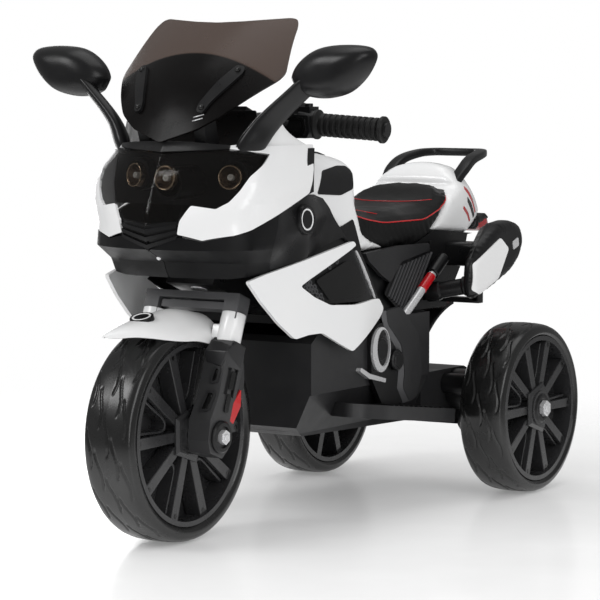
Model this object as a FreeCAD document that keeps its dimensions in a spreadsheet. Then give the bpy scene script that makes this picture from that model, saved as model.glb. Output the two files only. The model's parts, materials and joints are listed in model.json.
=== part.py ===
"""Kids' electric three-wheel motorbike, as an assembly of separate named pieces.

Millimetres. The origin is on the ground, on the centre plane, midway between the
wheels' axles. The bike faces -Y, its left side is +X and +Z is up.
"""
import FreeCAD
import Part
import math
import os
import Sketcher
from FreeCAD import Placement, Rotation, Vector

doc = FreeCAD.newDocument("ride_on_motorbike")
sheet = doc.addObject("Spreadsheet::Sheet", "dims")

SIZES = (
    # wheels and axles
    ("wheelbase", 664), ("track", 376), ("rake", 20.4),
    ("front_radius", 150), ("front_width", 80), ("front_rim_radius", 127),
    ("rear_radius", 130), ("rear_width", 76), ("rear_rim_radius", 111),
    ("rim_wall", 7), ("web_thickness", 8), ("spoke_width", 13), ("spoke_inset", 9),
    ("hub_radius", 27), ("front_axle_radius", 5), ("rear_axle_radius", 6),
    ("bush_wall", 4), ("running_gap", 0.05), ("side_gap", 1),
    # fork and steering
    ("crown_height", 342), ("fork_half", 66.5), ("leg_depth", 36), ("tube_radius", 12),
    ("sleeve_wall", 5), ("bridge_thickness", 16), ("stem_radius", 12.5), ("bar_height", 560),
    ("bar_radius", 11), ("grip_radius", 16), ("grip_length", 106), ("pod_radius", 20),
    ("fender_wall", 4), ("fender_gap", 17), ("button_radius", 6), ("button_travel", 2.5),
    # drive
    ("tub_rear_half", 100), ("case_wall", 3), ("gear_module_fine", 1), ("gear_module_coarse", 1.5),
    ("gear_width", 10), ("motor_radius", 17), ("motor_length", 60), ("backlash", 0.35),
    # body
    ("tub_half", 115), ("tub_floor", 128), ("tub_top", 285), ("tub_wall", 6),
    ("body_half", 90), ("body_wall", 4), ("head_radius", 26), ("head_half", 40),
    ("panel_wall", 5), ("fairing_half", 137), ("deck_height", 545), ("fairing_wall", 4),
    ("screen_wall", 4), ("screen_height", 714), ("side_half", 138), ("vent_recess", 3),
    ("tank_half", 96), ("tank_height", 528), ("tank_wall", 4), ("knee_recess", 3),
    ("seat_half", 94), ("seat_height", 476), ("tail_half", 86), ("tail_height", 501),
    ("rail_radius", 8), ("rail_reach", 150), ("mudguard_radius", 160), ("mudguard_wall", 5),
    ("pannier_depth", 60), ("pannier_length", 165), ("pannier_height", 79), ("pannier_tilt", 17.7),
    ("footboard_reach", 167), ("footboard_thickness", 20), ("cover_depth", 9),
    ("mirror_half", 285), ("mirror_height", 645), ("glass_wall", 2), ("socket_radius", 9),
    ("rocker_length", 24), ("rocker_width", 15), ("rocker_gap", 0.4), ("pedal_length", 66),
    ("pedal_width", 40), ("brace_radius", 8), ("arm_reach", 25), ("arm_depth", 10),
    ("battery_length", 150), ("battery_height", 96),
)
for row, (alias, value) in enumerate(SIZES, start=1):
    sheet.set("A%d" % row, alias)
    sheet.set("B%d" % row, str(value))
    sheet.setAlias("B%d" % row, alias)
doc.recompute()


class Size:
    """A length that carries its sheet expression along with its present value."""

    def __init__(self, value, text):
        self.value = float(value)
        self.text = text

    def __float__(self):
        return self.value

    def __add__(self, other):
        other = as_size(other)
        return Size(self.value + other.value, "(%s + %s)" % (self.text, other.text))

    def __sub__(self, other):
        other = as_size(other)
        return Size(self.value - other.value, "(%s - %s)" % (self.text, other.text))

    def __mul__(self, factor):
        factor = as_size(factor)
        return Size(self.value * factor.value, "(%s * %s)" % (self.text, factor.text))

    def __truediv__(self, factor):
        factor = as_size(factor)
        return Size(self.value / factor.value, "(%s / %s)" % (self.text, factor.text))

    def __neg__(self):
        return Size(-self.value, "(0 - %s)" % self.text)

    __radd__ = __add__
    __rmul__ = __mul__

    def __rsub__(self, other):
        return as_size(other) - self


def as_size(value):
    if isinstance(value, Size):
        return value
    return Size(value, "(%r)" % float(value))


def dim(alias):
    return Size(getattr(sheet, alias), "dims." + alias)


def tie(obj, prop, value):
    obj.setExpression(prop, as_size(value).text)


def spot(x, y, z):
    return Vector(float(x), float(y), float(z))


# anchors: both axles, the steering axis and heights along it
FRONT_Y = dim("wheelbase") * -0.5
REAR_Y = dim("wheelbase") * 0.5
FRONT_Z = dim("front_radius")
REAR_Z = dim("rear_radius")
RAKE = math.radians(float(dim("rake")))
RISE = math.cos(RAKE)
CROWN = (dim("crown_height") - FRONT_Z) / RISE
BAR = (dim("bar_height") - FRONT_Z) / RISE
HEAD_GAP = 2.0
STEER = Placement(spot(0, FRONT_Y, FRONT_Z), Rotation(Vector(1, 0, 0), -float(dim("rake"))))
NODES = []


def fore(offset):
    """A station measured from the front axle."""
    return FRONT_Y + offset


def aft(offset):
    """A station measured from the rear axle."""
    return REAR_Y + offset


def axis_y(height):
    """The station where the steering axis crosses a height."""
    return FRONT_Y + (as_size(height) - FRONT_Z) * math.tan(RAKE)


def node(obj, label):
    obj.Label = label
    NODES.append(obj)
    return obj


# feature helpers
def outline(body, plane, corners, offset=0):
    """A closed outline on one of the body's planes, each corner tied to the sheet."""
    sketch = body.newObject("Sketcher::SketchObject", body.Name + "_outline")
    support = [f for f in body.Origin.OriginFeatures if f.Role == plane][0]
    sketch.AttachmentSupport = [(support, "")]
    sketch.MapMode = "FlatFace"
    tie(sketch, "AttachmentOffset.Base.z", offset)
    corners = [(as_size(a), as_size(b)) for a, b in corners]
    count = len(corners)
    for i in range(count):
        start = corners[i]
        end = corners[(i + 1) % count]
        line = Part.LineSegment(spot(start[0], start[1], 0), spot(end[0], end[1], 0))
        sketch.addGeometry(line, False)
    for i in range(count):
        sketch.addConstraint(Sketcher.Constraint("Coincident", i, 2, (i + 1) % count, 1))
    for i, corner in enumerate(corners):
        for kind, length in zip(("DistanceX", "DistanceY"), corner):
            index = sketch.addConstraint(Sketcher.Constraint(kind, -1, 1, i, 1, length.value))
            tie(sketch, "Constraints[%d]" % index, length)
    return sketch


def prism(name, plane, corners, low, high):
    """A padded outline: YZ_Plane pads along +X, XY_Plane along +Z, XZ_Plane along -Y."""
    body = doc.addObject("PartDesign::Body", name)
    sketch = outline(body, plane, corners, low)
    pad = body.newObject("PartDesign::Pad", name + "_pad")
    pad.Profile = sketch
    tie(pad, "Length", as_size(high) - low)
    return body


def turned(name, corners, place=None):
    """A body of revolution about X, from an outline of (x, radius) corners."""
    body = doc.addObject("PartDesign::Body", name)
    sketch = outline(body, "XY_Plane", corners)
    turn = body.newObject("PartDesign::Revolution", name + "_turn")
    turn.Profile = sketch
    turn.ReferenceAxis = (sketch, ["H_Axis"])
    turn.Angle = 360
    if place:
        seat_at(body, place)
    return body


def seat_at(obj, place):
    for axis, value in zip("xyz", place):
        tie(obj, "Placement.Base." + axis, value)
    return obj


def block(name, xs, ys, zs):
    box = doc.addObject("Part::Box", name)
    for prop, pair in zip(("Length", "Width", "Height"), (xs, ys, zs)):
        tie(box, prop, as_size(pair[1]) - pair[0])
    return seat_at(box, (xs[0], ys[0], zs[0]))


def rod_x(name, radius, low, high, y, z):
    rod = doc.addObject("Part::Cylinder", name)
    tie(rod, "Radius", radius)
    tie(rod, "Height", as_size(high) - low)
    rod.Placement = Placement(Vector(), Rotation(Vector(0, 1, 0), 90))
    return seat_at(rod, (low, y, z))


def rod_between(name, radius, start, end):
    rod = doc.addObject("Part::Cylinder", name)
    tie(rod, "Radius", radius)
    run = end - start
    rod.Height = run.Length
    rod.Placement = Placement(start, Rotation(Vector(0, 0, 1), run))
    return rod


def ball(name, radius, centre):
    sphere = doc.addObject("Part::Sphere", name)
    tie(sphere, "Radius", radius)
    sphere.Placement.Base = centre
    return sphere


def cut(name, base, *tools):
    for i, tool in enumerate(tools):
        step = doc.addObject("Part::Cut", "%s_%d" % (name, i))
        step.Base = base
        step.Tool = tool
        base = step
    return base


def fuse(name, *shapes):
    union = doc.addObject("Part::MultiFuse", name)
    union.Shapes = list(shapes)
    union.Refine = True
    return union


def common(name, one, other):
    both = doc.addObject("Part::Common", name)
    both.Base = one
    both.Tool = other
    return both


def mirrored(name, source):
    twin = doc.addObject("Part::Mirroring", name)
    twin.Source = source
    twin.Normal = Vector(1, 0, 0)
    return twin


def pair(name, source):
    """The left piece and its mirror image, kept as two solids."""
    group = doc.addObject("Part::Compound", name)
    group.Links = [source, mirrored(name + "_right", source)]
    return group


def group(name, *members):
    bundle = doc.addObject("Part::Compound", name)
    bundle.Links = list(members)
    return bundle


def solid(name, shape):
    feature = doc.addObject("Part::Feature", name)
    feature.Shape = shape
    return feature


def loop(points):
    return Part.makePolygon(points + [points[0]])


def both_sides(half):
    """A symmetric outline from its left half, listed from one centre point to the other."""
    right = [(-x, v) for x, v in reversed(half) if x > 0.001]
    return list(half) + right


def plan_section(height, half):
    return [spot(x, y, height) for x, y in both_sides([(float(x), float(y)) for x, y in half])]


def cross_section(station, half):
    return [spot(x, station, z) for x, z in both_sides([(float(x), float(z)) for x, z in half])]


def band(name, stations, wall, low, high):
    """An upright wall that follows plan points (x, y), with its thickness on the inner side."""
    outer = [(as_size(x), as_size(y)) for x, y in stations]
    inner = [(x - wall, y) for x, y in reversed(outer)]
    return prism(name, "XY_Plane", outer + inner, low, high)


# wheels
def wheel_pieces(name, x, y, z, radius, width, rim_radius, bore, hub_low, hub_high):
    """A tyre and a rim with five pairs of spokes, about an axle along X."""
    half = width / 2
    shoulder = rim_radius + (radius - rim_radius) * 0.4
    tyre_profile = [(4 - half, rim_radius), (-half, rim_radius + 4)]
    for step in range(11):
        swing = math.pi * step / 10
        crown = (radius - shoulder) * math.sin(swing) ** 0.75
        tyre_profile.append((half * -math.cos(swing), shoulder + crown))
    tyre_profile += [(half, rim_radius + 4), (half - 4, rim_radius)]
    tyre = turned(name + "_tyre", tyre_profile, (x, y, z))

    barrel = rim_radius - dim("rim_wall")
    web = dim("web_thickness") / 2
    hub = dim("hub_radius")
    edge = half - 3
    rim_profile = [(-edge, rim_radius), (-edge, barrel), (-web, barrel), (-web, hub), (hub_low, hub)]
    rim_profile += [(hub_low, bore), (hub_high, bore), (hub_high, hub), (web, hub)]
    rim_profile += [(web, barrel), (edge, barrel), (edge, rim_radius)]
    rim = turned(name + "_rim", rim_profile, (x, y, z))
    doc.recompute()
    reach = half - dim("spoke_inset")
    across = dim("spoke_width") / 2
    spokes = []
    for side in (-1, 1):
        inner_mid = hub * 0.34 * side
        outer_mid = barrel * 0.33 * side
        top = barrel * 0.97
        corners = [(inner_mid - across, hub * 0.9), (inner_mid + across, hub * 0.9)]
        corners += [(outer_mid + across, top), (outer_mid - across, top)]
        sketch = outline(rim, "YZ_Plane", corners, -reach)
        pad = rim.newObject("PartDesign::Pad", rim.Name + "_spoke")
        pad.Profile = sketch
        tie(pad, "Length", reach * 2)
        spokes.append(pad)
    ring = rim.newObject("PartDesign::PolarPattern", rim.Name + "_spokes")
    ring.Originals = spokes
    ring.Axis = ([f for f in rim.Origin.OriginFeatures if f.Role == "X_Axis"][0], [""])
    ring.Angle = 360
    ring.Occurrences = 5
    rim.Tip = ring
    return tyre, rim


front_bore = dim("front_axle_radius") + dim("running_gap")
front_sleeve = front_bore + dim("bush_wall")
front_hub = dim("fork_half") - dim("leg_depth") / 2 - dim("side_gap")
tyre, rim = wheel_pieces("front", 0, FRONT_Y, FRONT_Z, dim("front_radius"), dim("front_width"),
                         dim("front_rim_radius"), front_sleeve, -front_hub, front_hub)
node(tyre, "front_tyre")
node(rim, "front_rim")
bush = turned("front_bush", [(-front_hub, front_bore), (-front_hub, front_sleeve), (front_hub, front_sleeve),
                             (front_hub, front_bore)], (0, FRONT_Y, FRONT_Z))
node(bush, "front_wheel_bush")

rear_bore = dim("rear_axle_radius") + dim("running_gap")
rear_half = dim("rear_width") / 2
for side, sign in (("left", 1), ("right", -1)):
    tyre, rim = wheel_pieces("rear_" + side, dim("track") / 2 * sign, REAR_Y, REAR_Z,
                             dim("rear_radius"), dim("rear_width"), dim("rear_rim_radius"),
                             rear_bore, -rear_half, rear_half)
    node(tyre, "rear_tyre_" + side)
    node(rim, "rear_rim_" + side)

# axles and their nuts
leg_in = dim("fork_half") - dim("leg_depth") / 2
leg_out = dim("fork_half") + dim("leg_depth") / 2


def hex_nut(name, radius, bore, low, high, y, z):
    corners = []
    for step in range(6):
        swing = math.radians(60 * step + 30)
        corners.append((radius * math.cos(swing), radius * math.sin(swing)))
    nut = prism(name, "YZ_Plane", corners, low, high)
    seat_at(nut, (0, y, z))
    return cut(name + "_bored", nut, rod_x(name + "_bore", bore, low - 1, high + 1, y, z))


front_rod = rod_x("front_rod", dim("front_axle_radius"), -leg_out - 12, leg_out + 12, FRONT_Y, FRONT_Z)
nut_size = dim("front_axle_radius") * 2.1
front_nut = hex_nut("front_nut", nut_size, dim("front_axle_radius"), leg_out + 2, leg_out + 10,
                    FRONT_Y, FRONT_Z)
node(group("front_axle", front_rod, front_nut, mirrored("front_nut_right", front_nut)), "front_axle")

wheel_out = dim("track") / 2 + rear_half
rear_end = wheel_out + dim("side_gap") + 11
rear_rod = rod_x("rear_rod", dim("rear_axle_radius"), -rear_end, rear_end, REAR_Y, REAR_Z)
nut_size = dim("rear_axle_radius") * 2.1
rear_nut = hex_nut("rear_nut", nut_size, dim("rear_axle_radius"), wheel_out + dim("side_gap"),
                   wheel_out + dim("side_gap") + 9, REAR_Y, REAR_Z)
node(group("rear_axle", rear_rod, rear_nut, mirrored("rear_nut_right", rear_nut)), "rear_axle")

# fork legs, drawn upright in the steering frame: the axle at the origin, the axis along Z
TUBE_LOW = 132.0


leg_corners = [(-15, -27), (15, -27), (25, -12), (27, 16), (19, 52), (21, 104), (16, TUBE_LOW),
               (-16, TUBE_LOW), (-23, 104), (-22, 52), (-30, 16), (-25, -12)]
leg = prism("fork_leg", "YZ_Plane", leg_corners, leg_in, leg_out)
leg_boss = rod_x("leg_boss", 17, leg_out, leg_out + 2, 0, 0)
leg_bore = rod_x("leg_bore", dim("front_axle_radius"), leg_in - 1, leg_out + 3, 0, 0)
slot_high = block("slot_high", (leg_out - 6, leg_out + 1), (-13, -4), (58, 98))
slot_low = block("slot_low", (leg_out - 6, leg_out + 1), (3, 12), (58, 98))
leg = cut("fork_leg_cut", fuse("fork_leg_boss", leg, leg_boss), leg_bore, slot_high, slot_low)
legs = pair("fork_legs", leg)
legs.Placement = STEER
node(legs, "fork_legs")


def upright(name, radius, x, low, high):
    rod = doc.addObject("Part::Cylinder", name)
    tie(rod, "Radius", radius)
    tie(rod, "Height", as_size(high) - low)
    return seat_at(rod, (x, 0, low))


bridge_low = CROWN - dim("bridge_thickness")
tube = upright("fork_tube", dim("tube_radius"), dim("fork_half"), TUBE_LOW, bridge_low)
tubes = pair("fork_tubes", tube)
tubes.Placement = STEER
node(tubes, "fork_tubes")

sleeve_top = TUBE_LOW + 42
sleeve = cut("fork_sleeve", upright("sleeve_skin", dim("tube_radius") + dim("sleeve_wall"),
                                    dim("fork_half"), TUBE_LOW, sleeve_top),
             upright("sleeve_bore", dim("tube_radius"), dim("fork_half"), TUBE_LOW - 1, sleeve_top + 1))
sleeves = pair("fork_sleeves", sleeve)
sleeves.Placement = STEER
node(sleeves, "fork_sleeves")

bridge_end = dim("fork_half") + dim("tube_radius") + 2
bridge_corners = [(-bridge_end, -10), (-bridge_end + 10, -20), (bridge_end - 10, -20), (bridge_end, -10),
                  (bridge_end, 10), (bridge_end - 10, 20), (-bridge_end + 10, 20), (-bridge_end, 10)]
bridge = prism("fork_bridge_plate", "XY_Plane", bridge_corners, bridge_low, CROWN)
window = block("bridge_window", (dim("stem_radius") + 8, dim("fork_half") - dim("tube_radius") - 5),
               (-9, 9), (bridge_low - 1, CROWN + 1))
bridge = cut("fork_bridge", bridge, window, mirrored("bridge_window_right", window))
crown = group("fork_bridge_seat", bridge)
crown.Placement = STEER
node(crown, "fork_bridge")

stem = group("steering_stem", upright("stem_rod", dim("stem_radius"), 0, CROWN, BAR))
stem.Placement = STEER
node(stem, "steering_stem")

diamond = [(-11, 40), (0, 24), (11, 40), (0, 56)]
reflectors = pair("fork_reflectors", prism("reflector", "YZ_Plane", diamond, leg_out, leg_out + 2.5))
reflectors.Placement = STEER
node(reflectors, "fork_reflectors")

# fender: an arched beak over the front tyre, held by the sleeves
tyre_top = float(FRONT_Z + dim("front_radius"))
fender_wall = float(dim("fender_wall"))
fender_edge = float(leg_in) - 0.5


def fender_section(station, half, crest, drop, inset, skirt):
    reach = half - inset
    top = crest - inset
    arch = [(0, top), (reach * 0.45, top - drop * 0.1), (reach * 0.85, top - drop * 0.4),
            (reach, top - drop * 0.75), (reach, top - drop - skirt)]
    return cross_section(station, arch)


fender_rise = tyre_top + float(dim("fender_gap")) + fender_wall
fender_stations = ((-148, 7, -20, 6), (-132, 13, -14, 11), (-108, 23, -9, 17), (-84, 35, -5, 25),
                   (-54, 43, -2, 34), (0, fender_edge, 0, 42), (62, fender_edge, -9, 48))
shells = []
for inset, skirt, tip, tail in ((0, 0, 0, 0), (fender_wall, 20, fender_wall * 2, fender_wall)):
    shifts = [tip] + [0] * (len(fender_stations) - 2) + [tail]
    rings = []
    for shift, (offset, half, rise, drop) in zip(shifts, fender_stations):
        station = float(fore(offset + shift))
        rings.append(fender_section(station, half, fender_rise + rise, drop, inset, skirt))
    shells.append(Part.makeLoft([loop(r) for r in rings], True, True))
fender_shell = solid("fender_shell", shells[0].cut(shells[1]))
ear = block("fender_ear", (fender_edge - fender_wall, dim("fork_half")), (-9, 9),
            (TUBE_LOW + 8, TUBE_LOW + 34))
ear = cut("fender_ear_cut", ear, upright("ear_bore", dim("tube_radius") + dim("sleeve_wall"),
                                         dim("fork_half"), TUBE_LOW, sleeve_top))
ears = pair("fender_ears", ear)
ears.Placement = STEER
node(fuse("front_fender", fender_shell, ears), "front_fender")

# handlebar, grips and switch pods
bar_mid = STEER.multVec(Vector(0, 0, float(BAR) + 16))
bar_bend = Vector(62, bar_mid.y + 22, bar_mid.z + 3)
bar_start = Vector(82, bar_mid.y + 44, bar_mid.z - 2)
bar_run = Vector(136, 18, -9)
bar_run.normalize()
POD = 24.0
bar_length = POD + 3 + float(dim("grip_length")) + 4
bar_end = bar_start + bar_run * bar_length
clamp_box = block("bar_clamp_box", (-30, 30), (-19, 19), (BAR, BAR + 32))
clamp_seat = group("bar_clamp_seat", clamp_box)
clamp_seat.Placement = STEER
half_bar = fuse("half_bar", rod_between("bar_one", dim("bar_radius"), bar_mid, bar_bend),
                ball("bar_knee", dim("bar_radius"), bar_bend),
                rod_between("bar_two", dim("bar_radius"), bar_bend, bar_start),
                ball("bar_elbow", dim("bar_radius"), bar_start),
                rod_between("bar_three", dim("bar_radius"), bar_start, bar_end))
node(fuse("handlebar", clamp_seat, half_bar, mirrored("half_bar_right", half_bar)), "handlebar")


def on_bar(distance):
    return bar_start + bar_run * float(distance)


pod_low = 3.0
grip_low = pod_low + POD
grip_high = grip_low + float(dim("grip_length"))
grip = fuse("grip_solid", rod_between("grip_skin", dim("grip_radius"), on_bar(grip_low), on_bar(grip_high)),
            rod_between("grip_flange", dim("grip_radius") + 5, on_bar(grip_low), on_bar(grip_low + 5)),
            rod_between("grip_end", dim("grip_radius") + 3, on_bar(grip_high - 6), on_bar(grip_high)))
grip = cut("grip", grip, rod_between("grip_bore", dim("bar_radius"), on_bar(grip_low - 1),
                                     on_bar(bar_length)))
node(pair("grips", grip), "grips")

pod_mid = on_bar(pod_low + POD / 2)
button_face = pod_mid.z + float(dim("pod_radius"))
pod = rod_between("pod_skin", dim("pod_radius"), on_bar(pod_low), on_bar(grip_low))
pod_crown = block("pod_crown", (pod_mid.x - 9, pod_mid.x + 9), (pod_mid.y - 12, pod_mid.y + 12),
                  (pod_mid.z, button_face + 4))
button_floor = pod_mid.z + float(dim("bar_radius")) + 2.5
button_gap = 0.15
button_well = doc.addObject("Part::Cylinder", "button_well")
tie(button_well, "Radius", dim("button_radius") + button_gap)
button_well.Height = 40
button_well.Placement.Base = Vector(pod_mid.x, pod_mid.y, button_floor)
pod = cut("pod", fuse("pod_body", pod, pod_crown),
          rod_between("pod_bore", dim("bar_radius"), on_bar(pod_low - 2), on_bar(grip_low + 2)), button_well)
node(pair("switch_pods", pod), "switch_pods")
button_low = button_floor + float(dim("button_travel")) + 0.5
for label, sign in (("horn_button", 1), ("music_button", -1)):
    button = doc.addObject("Part::Cylinder", label)
    tie(button, "Radius", dim("button_radius"))
    button.Height = button_face + 4 + float(dim("button_travel")) + 2 - button_low
    button.Placement.Base = Vector(pod_mid.x * sign, pod_mid.y, button_low)
    node(button, label)

# lower tub: a deep tray with the rear axle carrier behind it
axle_low = REAR_Z - 30
tub_profile = [(fore(182), dim("tub_floor") + 14), (fore(204), dim("tub_floor")),
               (aft(-170), dim("tub_floor") - 8), (aft(-30), axle_low), (aft(46), axle_low),
               (aft(58), REAR_Z), (aft(46), REAR_Z + 34), (aft(-20), REAR_Z + 60),
               (aft(-134), REAR_Z + 60), (aft(-142), dim("tub_top")), (fore(214), dim("tub_top")),
               (fore(182), dim("tub_top") - 22)]
tub = prism("tub", "YZ_Plane", tub_profile, -dim("tub_half"), dim("tub_half"))
flank = prism("tub_flank", "XZ_Plane",
              [(dim("tub_half") - 30, dim("tub_floor") - 60), (dim("tub_half") - 30, dim("tub_floor") + 4),
               (dim("tub_half") - 2, dim("tub_floor") + 62), (dim("tub_half") + 9, dim("tub_floor") + 62),
               (dim("tub_half") + 9, dim("tub_floor") - 60)], -aft(-152), -fore(170))
hip = block("tub_hip", (dim("tub_rear_half"), dim("tub_half") + 9), (aft(-152), aft(90)),
            (axle_low - 10, dim("tub_top") + 9))
well_half = dim("tub_half") - 36
tray = block("tub_tray", (-well_half, well_half),
             (fore(182) + dim("tub_wall") * 2, aft(-142) - dim("tub_wall")),
             (dim("tub_floor") + dim("tub_wall"), dim("tub_top") + 9))
bay = block("tub_bay", (-well_half, well_half - 18), (aft(-126), aft(-24)),
            (REAR_Z - 18, REAR_Z + 60 - dim("tub_wall")))

# gear train on the left: wheel gear, compound gear and motor pinion
COARSE = float(dim("gear_module_coarse"))
FINE = float(dim("gear_module_fine"))
WHEEL_TEETH = 56
SMALL_TEETH = 16
LARGE_TEETH = 48
PINION_TEETH = 16
first_reach = COARSE * (WHEEL_TEETH + SMALL_TEETH) / 2
second_reach = FINE * (LARGE_TEETH + PINION_TEETH) / 2
first_turn = math.radians(150)
second_turn = math.radians(160)
idler_y = REAR_Y + first_reach * math.cos(first_turn)
idler_z = REAR_Z + first_reach * math.sin(first_turn)
pinion_y = idler_y + second_reach * math.cos(second_turn)
pinion_z = idler_z + second_reach * math.sin(second_turn)
tub_side = dim("tub_rear_half")
case_out = dim("track") / 2 - rear_half - dim("side_gap") * 3
fine_low = tub_side + 6
coarse_low = fine_low + dim("gear_width") + 4


def gear(name, teeth, module, turn, low, width):
    """A spur gear about X whose tooth sits at the given angle in the YZ plane."""
    low = float(low)
    pitch = module * teeth / 2
    base = pitch * math.cos(math.radians(20))
    tip = pitch + 0.85 * module
    root = pitch - 1.2 * module
    involute = math.tan(math.radians(20)) - math.radians(20)
    half_tooth = math.pi / (2 * teeth) - float(dim("backlash")) / (2 * pitch) + involute
    flank = [(root, half_tooth)]
    for step in range(5):
        radius = max(base, root) + (tip - max(base, root)) * step / 4
        spread = math.acos(min(1, base / radius))
        flank.append((radius, half_tooth - (math.tan(spread) - spread)))
    points = []
    for tooth in range(teeth):
        middle = turn + 2 * math.pi * tooth / teeth
        for radius, offset in flank:
            points.append(Vector(low, radius * math.cos(middle - offset), radius * math.sin(middle - offset)))
        for radius, offset in reversed(flank):
            points.append(Vector(low, radius * math.cos(middle + offset), radius * math.sin(middle + offset)))
    return solid(name, Part.Face(loop(points)).extrude(Vector(float(width), 0, 0)))


def gap_turn(turn, teeth):
    """The angle that faces a tooth space to the mating gear."""
    return turn + math.pi + math.pi / teeth


wheel_teeth = seat_at(gear("wheel_teeth", WHEEL_TEETH, COARSE, first_turn, coarse_low, dim("gear_width")),
                      (0, REAR_Y, REAR_Z))
wheel_boss = rod_x("wheel_boss", rear_bore + 8, coarse_low, dim("track") / 2 - rear_half, REAR_Y, REAR_Z)
gear_bore = rod_x("gear_bore", rear_bore, coarse_low - 1, dim("track") / 2, REAR_Y, REAR_Z)
node(cut("wheel_gear", fuse("wheel_gear_blank", wheel_teeth, wheel_boss), gear_bore), "wheel_gear")

PIN = 3.0
small = gear("idler_small", SMALL_TEETH, COARSE, gap_turn(first_turn, SMALL_TEETH), fine_low,
             dim("gear_width") * 2 + 4)
large = gear("idler_large", LARGE_TEETH, FINE, second_turn, fine_low, dim("gear_width"))
for half_gear in (small, large):
    seat_at(half_gear, (0, idler_y, idler_z))
idler_bore = rod_x("idler_bore", PIN + dim("running_gap"), tub_side, case_out, idler_y, idler_z)
node(cut("idler_gear", fuse("idler_blank", small, large), idler_bore), "idler_gear")

SHAFT = 2.5
pinion = seat_at(gear("pinion_teeth", PINION_TEETH, FINE, gap_turn(second_turn, PINION_TEETH), fine_low,
                      dim("gear_width")), (0, pinion_y, pinion_z))
shaft = rod_x("pinion_shaft", SHAFT, tub_side - 40, fine_low + dim("gear_width"), pinion_y, pinion_z)
node(fuse("motor_pinion", pinion, shaft), "motor_pinion")

motor_face = tub_side - dim("tub_wall")
motor_body = rod_x("motor_can", dim("motor_radius"), motor_face - dim("motor_length"), motor_face,
                   pinion_y, pinion_z)
motor_bore = rod_x("motor_bore", SHAFT + dim("running_gap"), tub_side - 41, motor_face + 1,
                   pinion_y, pinion_z)
node(cut("drive_motor", motor_body, motor_bore), "drive_motor")


def case_stage(name, grow, low, high):
    stages = (("wheel", 46, REAR_Y, REAR_Z), ("idler", 28, idler_y, idler_z),
              ("pinion", 13, pinion_y, pinion_z))
    rods = [rod_x("%s_%s" % (name, part), as_size(radius) + grow, low, high, y, z)
            for part, radius, y, z in stages]
    return fuse(name, *rods)


case = cut("case_shell", case_stage("case_skin", dim("case_wall"), tub_side, case_out),
           case_stage("case_room", 0, tub_side - 1, case_out - dim("case_wall")),
           rod_x("case_hole", rear_bore + 10, tub_side, case_out + 1, REAR_Y, REAR_Z))
pin = rod_x("idler_pin", PIN, tub_side, case_out - 1, idler_y, idler_z)
node(fuse("gearbox_case", case, pin), "gearbox_case")

# the tub takes the axle, the motor and its shaft, and carries a spacer on the right
spacer = rod_x("axle_spacer", 17, -dim("track") / 2 + rear_half + dim("side_gap"), -tub_side + 1,
               REAR_Y, REAR_Z)
tub = cut("tub_trim", tub, flank, mirrored("tub_flank_right", flank), hip, mirrored("tub_hip_right", hip),
          tray, bay)
tub = cut("lower_tub", fuse("tub_with_spacer", tub, spacer),
          rod_x("axle_bore", dim("rear_axle_radius"), -rear_end, rear_end, REAR_Y, REAR_Z),
          rod_x("motor_room", dim("motor_radius"), motor_face - dim("motor_length"), motor_face,
                pinion_y, pinion_z),
          rod_x("shaft_hole", SHAFT + 3, motor_face - 1, tub_side + 1, pinion_y, pinion_z))
node(tub, "lower_tub")

battery_floor = dim("tub_floor") + dim("tub_wall")
battery_front = fore(240)
node(block("battery", (-48, 48), (battery_front, battery_front + dim("battery_length")),
           (battery_floor, battery_floor + dim("battery_height"))), "battery")
box_front = battery_front + dim("battery_length") + 12
node(block("control_box", (-42, 42), (box_front, box_front + 46), (battery_floor, battery_floor + 52)),
     "control_box")

# side views of the body's parts, as outlines of (station, height)
FAIR_LOW = 0.3583


def fairing_foot(station):
    """The slanting lower edge of the upper fairing."""
    return (as_size(station) - fore(-52)) * FAIR_LOW + (dim("deck_height") - 135)


fair_back = fore(135)
neck_front = fore(67)
side_rise = 0.1758


def side_top(station):
    """The upper edge of the side fairings, on which the neck covers stand."""
    return (as_size(station) - fore(16)) * side_rise + (dim("crown_height") + 21)


tank_foot = [(fore(217), dim("tank_height") - 60), (fore(296), dim("tank_height") - 119),
             (fore(350), dim("tank_height") - 147)]
seat_line = (aft(-236), dim("seat_height") - 92)
tail_tip = (aft(-94), dim("seat_height") - 72)
seat_under = [seat_line, (aft(-157), dim("seat_height") - 92), tail_tip, (aft(-32), dim("seat_height") - 24),
              (aft(-4), dim("seat_height") - 10)]
tail_back = aft(108)
undercowl = [(aft(23), dim("seat_height") - 83), (tail_back, dim("seat_height") - 58)]
belly = [(aft(-62), dim("tub_top")), (aft(-10), dim("tub_top") + 64), (aft(7), dim("seat_height") - 84)]

# nose envelope: plan sections from the lip up to the deck
half_x = dim("fairing_half")
deck = dim("deck_height")
lip = dim("crown_height") + 20


def nose_half(reach, cheeks, back_x):
    """Left half of a plan section: nose, cheek, outer corner and straight flank."""
    nose = fore(reach)
    points = [(0, nose)]
    for x, setback in cheeks:
        points.append((half_x * x, nose + setback))
    points.append((half_x * back_x, fair_back + 30))
    points.append((0, fair_back + 30))
    return points


def shrunk(half, wall):
    inner = [(0, as_size(half[0][1]) + wall * 1.15)]
    for x, y in half[1:-2]:
        inner.append((x - as_size(wall) * 0.75, y + as_size(wall) * 0.95))
    inner.append((half[-2][0] - wall, half[-2][1]))
    inner.append((0, half[-1][1]))
    return inner


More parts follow.
